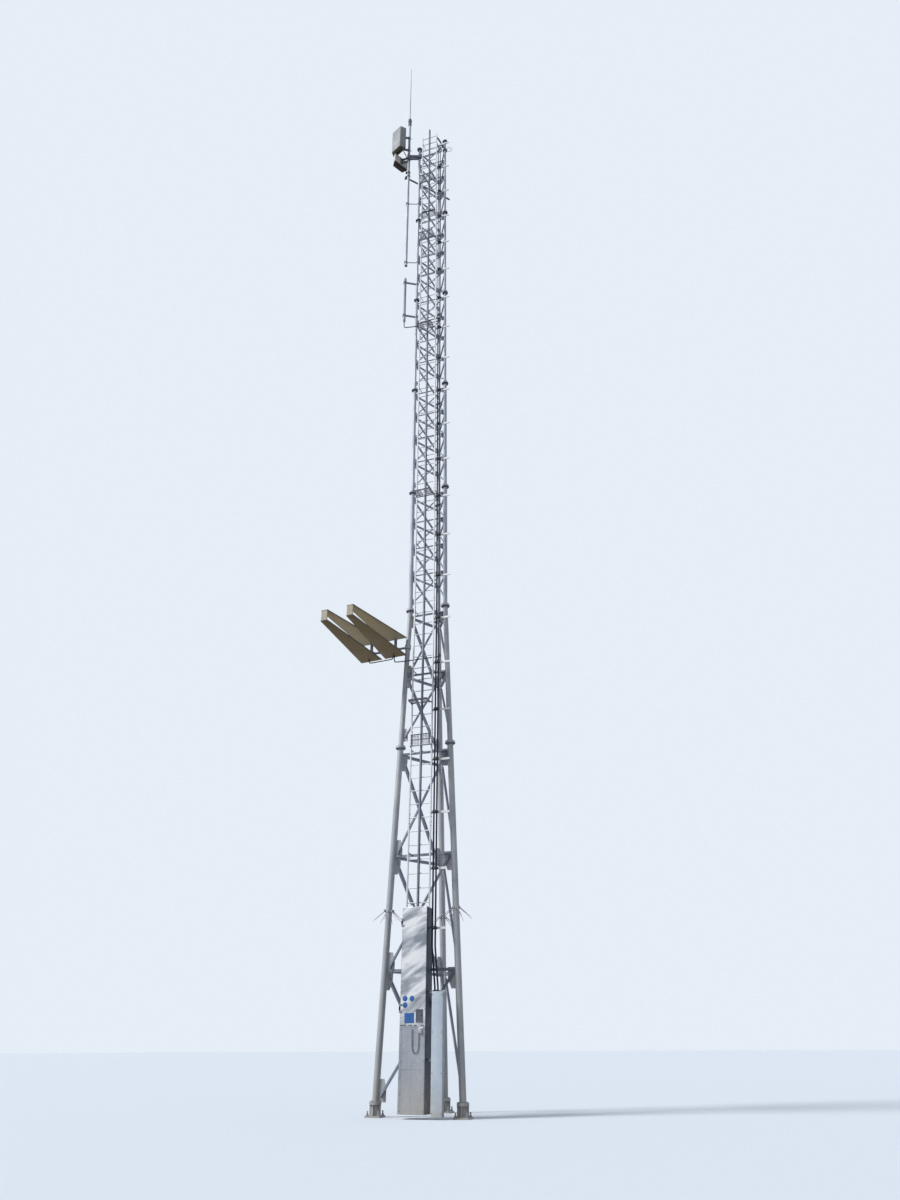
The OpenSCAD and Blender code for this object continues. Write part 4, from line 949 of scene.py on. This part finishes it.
high, jumper, panel = feeders["crossing"], feeders["jumper"], feeders["panel"]
plug, linkPlug = feeders["plugs"]
routes = {
    "whip_feeder": [*runUp(0, 1, high), byPole(0.12, 300, high)],
    "whip_jumper": [byPole(0.14, 300, high), byPole(jumper, 300, high), byPole(jumper, 300, 25.0),
                    byPole(0.0463, 300, 25.13), byPole(0.0463, 300, 25.2497)],
    "panel_feeder": [*runUp(1, 1, high - 0.05), byPole(0.076, 277, high - 0.05), byPole(panel, 258, 23.76),
                     byPole(panel, 258, 23.9597)],
    "tube_feeder": runUp(0, 0, tube["low"] - feeders["tubeDrop"])
    + [atHeight(tube["place"], tube["low"] - down) for down in (feeders["tubeDrop"], 0.0303)],
    "log_feeder": runUp(1, 0, log["height"] - feeders["logDrop"])
    + [underFin(0, plug, hang) for hang in (0.14, 0.0004)],
    "log_link": [underFin(i, linkPlug, hang)
                 for i, hang in ((0, 0.0004), (0, 0.09), (1, 0.09), (1, 0.0004))],
}
for name, route in routes.items():
    settleOn(sweepTube(name, roundCorners(route, feeders["bend"]), feeders["radius"], 12), "cable_jacket",
        "tubeRadome" if name == "whip_jumper" else "cableJacket",
        *(["feeder_cables"] if name == "whip_feeder" else []))
print("feeders run")

# cleats: three clamped layers and their bolts, and the bolts of the bars they sit on
cleat = {"first": 0.82, "count": 23, "margin": 0.019, "half": 0.025, "back": 0.212,
    "layers": [(0.212, 0.2285), (0.2305, 0.2575), (0.2595, 0.276)], "barBoltX": (0.236, 0.258),
    "barBoltY": 0.004, "bolt": (0.013, 0.068), "barBolt": (0.017, 0.02)}


def cleatPlace(i):
    height = cleat["first"] + i
    shift = feeders["shift"] if height < cover["top"] + feeders["aboveCover"] else 0
    return faceFrame(0, height) @ move(feeders["first"] + shift, 0, 0)


left, right, half = -cleat["margin"], feeders["pitch"] + cleat["margin"], cleat["half"]
layers = [addBox("layer", (left, -half, low), (right, half, high), 0.003) for low, high in cleat["layers"]]
places = [cleatPlace(i) for i in range(cleat["count"])]
settleOn(scatter(joinAll("feeder_cleats", layers), places), "black_plastic", "blackPlastic", "cable_cleats")
boltSeat = move(feeders["pitch"] / 2, 0, cleat["layers"][-1][1])
boltOn("cleat_bolts", *cleat["bolt"], [place @ boltSeat for place in places])
places = [faceFrame(0, cleat["first"] + i) @ move(x, cleat["barBoltY"], cleat["back"])
    for i in range(cleat["count"] + 1) for x in cleat["barBoltX"]]
boltOn("bar_bolts", *cleat["barBolt"], places, "bright_aluminium")
print("cleats and bar bolts set")

# ladder splices and the clips of the fall arrest rail
ladder = {"splices": [4.7, 6.3, 9.2, 12.2, 15.2, 18.2, 21.2], "spliceX": 0.1975, "half": 0.0025,
    "out": 0.21, "length": 0.3, "width": 0.034, "boltY": (-0.12, -0.05, 0.05, 0.12), "clips": 24,
    "clip": (0.034, 0.016), "clipBack": 0.196, "clipFront": 0.2245, "clipBolts": (-0.019, 0.019),
    "bolt": (0.016, 0.025), "clipBolt": (0.013, 0.02)}
pieces, places, half = [], [], ladder["half"]
for height in ladder["splices"]:
    for side in (-1, 1):
        x, y, z, out = side * ladder["spliceX"], ladder["length"] / 2, ladder["width"] / 2, ladder["out"]
        pieces.append(addBox("splice", (x - half, -y, out - z), (x + half, y, out + z), 0.0012))
        pieces[-1].data.transform(faceFrame(0, height))
        places += [faceFrame(0, height) @ move(x - side * half, y, out) @ turnAbout(-90 * side, "Y")
            for y in ladder["boltY"]]
settleAll("ladder_splices", pieces, "bright_aluminium", "millAluminium")
boltOn("splice_bolts", *ladder["bolt"], places, "bright_aluminium")
pieces, places, (x, y) = [], [], ladder["clip"]
for height in range(1, ladder["clips"] + 1):
    clip = addBox("clip", (-x, -y, ladder["clipBack"]), (x, y, ladder["clipFront"]))
    taper(clip, lambda normal: normal.z < -0.9, (0.7, 0.7, 1), (0, 0, ladder["clipBack"]))
    pieces.append(softEdges(clip, 0.002))
    clip.data.transform(faceFrame(0, height))
    places += [faceFrame(0, height) @ move(boltX, 0, ladder["clipFront"]) for boltX in ladder["clipBolts"]]
settleAll("rail_clips", pieces, "galvanised_steel", "boltZinc")
boltOn("rail_clip_bolts", *ladder["clipBolt"], places)
print("ladder dressed")

# lugs and bolts that close the spiked collars
spikes = {"height": 3.17, "radius": 0.0655, "sunk": 0.004, "reach": 0.028, "half": 0.012, "rise": 0.022,
    "boltAt": 0.015, "bolt": (0.017, 0.024)}
pieces = []
for leg in range(3):
    ring = (Matrix.Translation(legAt(leg, spikes["height"])) @ turnAbout(tower["legAngles"][leg], "Z")
        @ Matrix.Rotation(-legLean, 4, "Y"))
    for turn in (0, 180):
        lug = addBox("lug", (spikes["radius"] - spikes["sunk"], -spikes["half"], -spikes["rise"]),
            (spikes["radius"] + spikes["reach"], spikes["half"], spikes["rise"]), 0.002)
        bolt = makeBolt("lugBolt", *spikes["bolt"])
        bolt.data.transform(move(spikes["radius"] + spikes["boltAt"], -spikes["half"], 0)
            @ turnAbout(90, "X"))
        for piece in (lug, bolt):
            piece.data.transform(ring @ turnAbout(turn, "Z"))
            pieces.append(piece)
settleAll("collar_lugs", pieces, "galvanised_steel", "boltZinc")
print("collars closed")

# whip on its stepped base
whip = {
    "base": [(0.028, 0), (0.042, 0.012), (0.050, 0.035), (0.050, 0.105), (0.036, 0.125), (0.036, 0.150),
             (0.052, 0.170), (0.055, 0.200), (0.055, 0.275), (0.046, 0.300), (0.024, 0.318), (0.014, 0.33)],
    "rod": [(0.0125, 0.325), (0.0115, 0.60), (0.0115, 1.30), (0.0095, 1.32), (0.0085, 2.20),
            (0.0065, 2.23), (0.0055, 2.765), (0.003, 2.78)]}
poleAt = move(pole["place"].x, pole["place"].y, 0)
poleTop = poleAt @ move(0, 0, pole["top"])
settleOn(turned("whip_base", whip["base"], 32, poleTop), "dark_fibreglass", "whipBase", "whip_antenna")
settleOn(turned("whip_rod", whip["rod"], 20, poleTop), "dark_fibreglass", "whipGlass")

# panel antennas: a crowned cover, a dark foot and the brackets to the pole
panelForm = {"front": 0.335, "back": 0.46, "depth": 0.18, "rim": 0.04, "standoff": 0.165, "cap": 0.014,
    "lap": 0.010, "bandIn": 0.008, "bandUp": 0.009, "socketX": 0.07, "sockets": (-0.12, -0.04, 0.04, 0.12),
    "socketDown": 0.022, "socket": [(0.016, -0.004), (0.019, 0), (0.019, 0.02), (0.024, 0.022),
    (0.024, 0.032)], "clamp": (0.0003, 0.010, 0.044), "arm": (0.026, 0.018), "heel": (0.045, 0.05),
    "boltX": 0.056, "boltOut": 0.013, "bolt": (0.017, 0.11), "armFrom": 0.005,
    "armHollow": (0.007, 0.010), "heelX": (-0.008, 0.002), "bandWire": 0.009, "strutWire": 0.0065,
    "strutFrom": 0.006, "strutTo": 0.004, "strutShare": 0.93}
panels = {"upper": {"low": 23.96, "height": 0.90, "bearing": 246, "shift": -0.16, "clamps": [24.14, 24.68],
                    "strut": 0.075, "cap": "capOlive", "slot": "grey_radome", "look": "greyRadome"},
          "lower": {"low": 23.60, "height": 0.34, "bearing": 150, "shift": 0.114, "clamps": [23.70, 23.84],
                    "strut": -0.075, "cap": "capBrown", "slot": "beige_radome", "look": "beigeRadome"}}
panelBack = pole["radius"] + panelForm["standoff"]


def panelShell(name, low, high, shrink, edge):
    half, depth = panelForm["back"] / 2 - shrink, panelForm["depth"] - shrink
    shell = addBox(name, (shrink, -half, low), (depth, half, high))
    takeUp(shell)
    bpy.ops.object.mode_set(mode="EDIT")
    bpy.ops.mesh.select_all(action="SELECT")
    bpy.ops.mesh.bisect(plane_co=(panelForm["rim"], 0, 0), plane_no=(1, 0, 0))
    endEdit()
    taper(shell, lambda normal: normal.x > 0.9, (1, panelForm["front"] / panelForm["back"], 1),
        (depth, 0, low))
    return smoothShade(softEdges(shell, edge, 3, 25))


for name, panel in panels.items():
    low, name, radius = panel["low"], name + "_panel", pole["radius"]
    place = poleAt @ turnAbout(panel["bearing"], "Z")
    seat = place @ move(panelBack, panel["shift"], 0)
    settleOn(panelShell(name + "_cover", low + panelForm["cap"], low + panel["height"], 0, 0.016),
        panel["slot"], panel["look"], name + "_antenna", place=seat)
    settleOn(panelShell(name + "_foot", low, low + panelForm["cap"] + panelForm["lap"], 0.004, 0.004),
        panel["slot"], panel["cap"], place=seat)
    inner, up = panelForm["bandIn"], low + panelForm["bandUp"]
    wide, narrow = panelForm["back"] / 2 - inner, panelForm["front"] / 2 - inner
    outline = [(0.01, -wide), (panelForm["rim"], -wide), (panelForm["depth"] - inner, -narrow)]
    outline = [(x, y, up) for x, y in outline] + [(x, -y, up) for x, y in reversed(outline)]
    band = sweepTube(name + "_band", outline, panelForm["bandWire"], 10, closed=True)
    settleOn(band, panel["slot"], panel["cap"], place=seat)
    x, z = panelForm["socketX"], low - panelForm["socketDown"]
    sockets = [turned("socket", panelForm["socket"], 16, move(x, y, z)) for y in panelForm["sockets"]]
    settleAll(name + "_sockets", sockets, "black_plastic", "blackPlastic", place=seat)
    pieces = []
    for height in panel["clamps"]:
        slack, thick, tall = panelForm["clamp"]
        pieces.append(addCollar(radius + slack, radius + thick, tall, move(0, 0, height)))
        half, rise = panelForm["arm"]
        arm = addBox("arm", (radius + panelForm["armFrom"], -half, height - rise),
            (panelBack + 0.001, half, height + rise))
        pickFaces(arm, lambda normal: normal.x > 0.9)
        bpy.ops.transform.translate(value=(0, panel["shift"], 0))
        endEdit()
        hollow(arm, lambda normal: abs(normal.z) > 0.9, *panelForm["armHollow"])
        pieces.append(softEdges(arm, 0.0015, 1))
        (half, rise), (near, far) = panelForm["heel"], panelForm["heelX"]
        pieces.append(addBox("heel", (panelBack + near, panel["shift"] - half, height - rise),
            (panelBack + far, panel["shift"] + half, height + rise), 0.002))
        for side in (-1, 1):
            pieces.append(makeBolt("clampBolt", *panelForm["bolt"]))
            y = side * (radius + panelForm["boltOut"])
            pieces[-1].data.transform(move(panelForm["boltX"], y, height) @ turnAbout(90, "Y"))
        ends = [(radius + panelForm["strutFrom"], 0, height - panel["strut"]),
            (panelBack - panelForm["strutTo"], panel["shift"] * panelForm["strutShare"], height)]
        pieces.append(sweepTube("strut", ends, panelForm["strutWire"]))
    settleAll(name + "_brackets", pieces, "bracing_steel", "darkZinc", place=place)
print("panel antennas made")

# tube antenna
tubeProfile = [(0.019, -0.03), (0.023, -0.027), (0.023, 0.0), (0.030, 0.002), (0.033, 0.010),
    (0.033, 0.115), (0.0312, 0.120), (0.0312, 1.395), (0.033, 1.400), (0.033, 1.495), (0.027, 1.51)]
settleOn(turned("tube_antenna_shell", tubeProfile, 32, move(tube["place"].x, tube["place"].y, tube["low"])),
    "grey_tube_radome", "tubeRadome", "tube_antenna")

# clamp lugs and bolts on the arms between the left leg and the poles beside it
arms = {"heights": [(19.56, pole), (21.86, pole), (23.785, pole), (23.895, pole), (17.6, tube),
    (18.76, tube)], "legRadius": 0.0302, "lug": (0.004, 0.024, 0.012), "lugOut": 0.006, "boltOut": 0.010,
    "boltSide": 0.014, "bolt": (0.015, 0.05)}
pieces, places = [], []
thick, margin, rise = arms["lug"]
for height, mast in arms["heights"]:
    arm = Matrix.Translation(legAt(0, height)) @ turnAbout(mast["bearing"], "Z")
    for x, radius, way in ((0, arms["legRadius"], -1), (mast["reach"], mast["radius"], 1)):
        lug = addBox("lug", (-thick, -radius - margin, -rise), (thick, radius + margin, rise))
        # a doubled outline at both ends, where the bevel meets it
        pickFaces(lug, lambda normal: abs(normal.y) > 0.9)
        bpy.ops.mesh.extrude_region_move(TRANSFORM_OT_translate={"value": (0, 0, 0)})
        endEdit()
        pieces.append(softEdges(lug, 0.0015))
        lug.data.transform(arm @ move(x + way * (radius + arms["lugOut"]), 0, 0))
        places += [arm @ move(x + way * (radius + arms["boltOut"]), side * (radius + arms["boltSide"]), 0)
            @ turnAbout(90 * way, "Y") for side in (-1, 1)]
settleAll("arm_lugs", pieces, "bracing_steel", "darkZinc")
boltOn("arm_bolts", *arms["bolt"], places, "bracing_steel", "darkZinc")
print("arm clamps bolted")

# fittings at the tower's head: collar and ring on the right leg, a stay and a clamp on the pole
head = {"height": 23.80, "collar": [(0.034, -0.03), (0.060, -0.02), (0.068, -0.012), (0.068, 0.012),
    (0.060, 0.02), (0.034, 0.024), (0.034, 0.07)], "ring": (0.080, 0.0055), "ringTurn": 18.7,
    "ringOut": 0.115, "ringUp": 0.05, "clampHeight": 23.17, "clamp": (0.0352, 0.052, 0.05),
    "clampLug": ((0.03, -0.03, -0.02), (0.085, 0.03, 0.02)),
    "stay": [(0.212, 24.19, 0.20), (0.262, 24.12, 0.16), (0.345, 23.93, 0.055)], "stayRadius": 0.023}
rightTop = legAt(1, head["height"])
settleOn(turned("leg_collar", head["collar"], 28, Matrix.Translation(rightTop)), "galvanised_steel",
    "darkZinc")
ringAt = rightTop + bearingOf(head["ringTurn"]) * head["ringOut"] + Vector((0, 0, head["ringUp"]))
settleOn(smoothShade(addRing("leg_collar_ring", *head["ring"], 40, 10), 60), "galvanised_steel", "boltZinc",
    place=Matrix.Translation(ringAt) @ turnAbout(head["ringTurn"], "Z") @ turnAbout(90, "X"))
settleOn(sweepTube("top_stay", [facePoint(*stop) for stop in head["stay"]], head["stayRadius"], 12),
    "bracing_steel", "darkZinc")
pieces = [addCollar(*head["clamp"], move(0, 0, 0)), addBox("lug", *head["clampLug"], 0.003)]
seat = poleAt @ move(0, 0, head["clampHeight"]) @ turnAbout(pole["bearing"], "Z")
settleAll("pole_clamp", pieces, "bracing_steel", "darkZinc", place=seat)

# the boom's end clamp and its bolts at the pole and the rear leg
boom = {"height": 23.01, "radius": 0.024, "gap": 0.012, "capX": -0.075,
    "cap": [(0.026, 0), (0.040, 0.006), (0.040, 0.06), (0.026, 0.068)],
    "lug": ((-0.062, -0.055, -0.018), (-0.012, 0.055, 0.018)), "bolt": (0.017, 0.06)}
rearTop, legRadius = legAt(2, boom["height"]), tower["legDiameters"][-1] / 2
run = rearTop - pole["place"]
across = math.degrees(math.atan2(run.y, run.x)) + 90
tubes = ((pole["place"], pole["radius"]), (rearTop, legRadius))
start, end = [point + (radius + boom["radius"] + boom["gap"]) * bearingOf(across)
    for point, radius in tubes]
along = math.degrees(math.atan2(end.y - start.y, end.x - start.x))
boomFrame = move(start.x, start.y, boom["height"]) @ turnAbout(along, "Z")
pieces = [turned("cap", boom["cap"], 20, move(boom["capX"], 0, 0) @ turnAbout(90, "Y")),
    addBox("lug", *boom["lug"], 0.004)]
settleAll("boom_end_clamp", pieces, "bracing_steel", "darkZinc", place=boomFrame)
places = []
for point, radius in tubes:
    here, out = move(point.x, point.y, boom["height"]) @ turnAbout(across, "Z"), radius + boom["gap"]
    places += [here @ move(-out, side * out, 0) @ turnAbout(-90, "Y") for side in (-1, 1)]
boltOn("boom_bolts", *boom["bolt"], places, "bracing_steel", "darkZinc")
print("head fittings made")

# log antennas: two tapering fins with dark edges, a tip strip and a back yoke
logForm = {"shares": (-0.6, -0.2, 0.2, 0.6), "rib": 0.0052, "ribSunk": 0.004, "edge": 0.0116,
    "edgeIn": 0.004, "yoke": (0.04, 0.025), "seat": (0.029, 0.01, 0.025), "grip": (0.0003, 0.01, 0.06),
    "capReach": 0.082, "bolts": ((-0.115, 0.034), (-0.115, -0.034), (0.042, 0.12), (0.042, -0.12)),
    "cap": [(0.020, 0), (0.0255, 0.002), (0.0255, 0.012), (0.018, 0.018)], "bolt": (0.017, 0.05),
    "yokeHollow": (0.006, 0.018), "ribFrom": 0.02, "ribTo": 0.04}


def makeFin(side):
    tilt = move(0, 0, side * log["backHeight"] / 2) @ turnAbout(side * logTilt, "Y")
    half, tip, thick, inner = log["backWidth"] / 2, log["tipWidth"] / 2, log["fin"] / 2, logForm["edgeIn"]
    fin = addBox("fin", (0.002, inner - half, -thick), (log["length"] - 0.002, half - inner, thick))
    taper(fin, lambda normal: normal.x > 0.9, (1, tip / half, 1), (log["length"], 0, 0))
    smoothShade(softEdges(fin, 0.007, 3, 30))
    corners = [(inner, -half, 0), (log["length"] - inner, -tip, 0), (log["length"] - inner, tip, 0),
        (inner, half, 0)]
    edge = sweepTube("edge", corners, logForm["edge"], 8, closed=True)
    z = logForm["ribSunk"] - thick
    start, end = logForm["ribFrom"], log["length"] - logForm["ribTo"]
    ribs = [sweepTube("rib", [(start, half * share, z), (end, tip * share, z)], logForm["rib"], 8)
        for share in logForm["shares"]]
    for piece in (fin, edge, *ribs):
        piece.data.transform(tilt)
    return joinAll("fin", [fin] + ribs), edge


for i, name in enumerate(("near_log", "far_log")):
    place = Matrix.Translation(logRoot(i)) @ turnAbout(log["bearing"], "Z")
    fins, edges = zip(makeFin(-1), makeFin(1))
    wide, tall = log["tipWidth"] / 2, log["tipHeight"] / 2
    far = log["length"]
    strip = addBox("strip", (far - log["fin"], -wide, -tall), (far, wide, tall), 0.006, 3)
    lowFin, topFin = joinAll(name + "_fins", [fins[0], strip]), joinAll(name + "_top_fin", [fins[1]])
    edgeTrim = joinAll(name + "_edges", list(edges))
    (deep, half), backHalf = logForm["yoke"], log["backHeight"] / 2
    yoke = addBox("yoke", (0, -half, -backHalf), (deep, half, backHalf))
    hollow(yoke, lambda normal: abs(normal.y) > 0.9, *logForm["yokeHollow"])
    low, high, half = logForm["seat"]
    slack, thick, tall = logForm["grip"]
    radius, seat = log["tubeRadius"], move(-log["stand"], 0, 0) @ turnAbout(90, "X")
    pieces = [softEdges(yoke, 0.0015, 1),
        addBox("seat", (low - log["stand"], -half, -half), (high, half, half), 0.003),
        addCollar(radius + slack, radius + thick, tall, seat)]
    for x, z in logForm["bolts"]:
        pieces.append(makeBolt("yokeBolt", *logForm["bolt"]))
        pieces[-1].data.transform(move(x, 0, z) @ turnAbout(-90 if x < 0 else 90, "Y"))
    metal = joinAll(name + "_yoke", pieces)
    # lower and top fins take two painted-shade copies of one radome colour, darker on the lower fins,
    # lighter on the top fins
    settleOn(lowFin, "beige_radome", "shadedFin", name + "_antenna", place=place)
    settleOn(topFin, "beige_radome", "bounceLitFin", place=place)
    settleOn(edgeTrim, "black_plastic", "edgeBrown", place=place)
    settleOn(metal, "galvanised_steel", "boltZinc", place=place)
capPlace = (Matrix.Translation(legAt(0, log["height"])) @ turnAbout(log["bearing"] - 90, "Z")
    @ move(log["near"] + log["pitch"] + logForm["capReach"], 0, 0) @ turnAbout(90, "Y"))
settleOn(turned("log_tube_cap", logForm["cap"], 20, capPlace), "black_plastic", "blackPlastic")
print("log antennas made")

# floor, light and background
stage = {"floorRadius": 250.0, "floorColor": (0.69, 0.74, 0.80, 1), "bounceColor": (0.14, 0.145, 0.155, 1),
    "floorRoughness": 0.9, "skyColor": (0.79, 0.85, 0.93, 1), "fillColor": (0.80, 0.86, 0.95, 1),
    "fillPower": 0.52, "sunPower": 2.8, "sunSpread": 14, "sunTilt": 48, "sunTurn": -54}


def seenRays(tree):
    # 1 for what the camera sees, straight, in a mirror or through glass
    rays = addNode(tree, "LightPath").outputs
    seen = mathNode(tree, "MAXIMUM", rays["Is Camera Ray"], rays["Is Glossy Ray"])
    return mathNode(tree, "MAXIMUM", seen, rays["Is Transmission Ray"])


floor = addShape("paleFloor", bpy.ops.mesh.primitive_circle_add, vertices=96, radius=stage["floorRadius"],
    fill_type="NGON")
floorPaint = bpy.data.materials.new("floorPaint")
floorPaint.use_nodes = True
tree = floorPaint.node_tree
feed(tree, tree.nodes["Principled BSDF"].inputs["Roughness"], stage["floorRoughness"])
feed(tree, tree.nodes["Principled BSDF"].inputs["Base Color"],
    mixColors(tree, seenRays(tree), stage["bounceColor"], stage["floorColor"]))
floor.data.materials.append(floorPaint)

sun = bpy.data.lights.new("softSun", "SUN")
sun.energy = stage["sunPower"]
sun.angle = math.radians(stage["sunSpread"])
lamp = bpy.data.objects.new("softSun", sun)
lamp.rotation_euler = (math.radians(stage["sunTilt"]), 0, math.radians(stage["sunTurn"]))
bpy.context.scene.collection.objects.link(lamp)

world = bpy.data.worlds.new("paleStudio")
bpy.context.scene.world = world
world.use_nodes = True
tree = world.node_tree
fill = tree.nodes["Background"]
fill.inputs["Color"].default_value = stage["fillColor"]
fill.inputs["Strength"].default_value = stage["fillPower"]
backdrop = addNode(tree, "Background", Color=stage["skyColor"], Strength=1.0)
choice = addNode(tree, "MixShader")
for socket, source in zip(choice.inputs, (seenRays(tree), fill.outputs[0], backdrop.outputs[0])):
    tree.links.new(source, socket)
tree.links.new(choice.outputs[0], tree.nodes["World Output"].inputs["Surface"])
bpy.context.scene.view_settings.view_transform = "Standard"
print("stage lit")
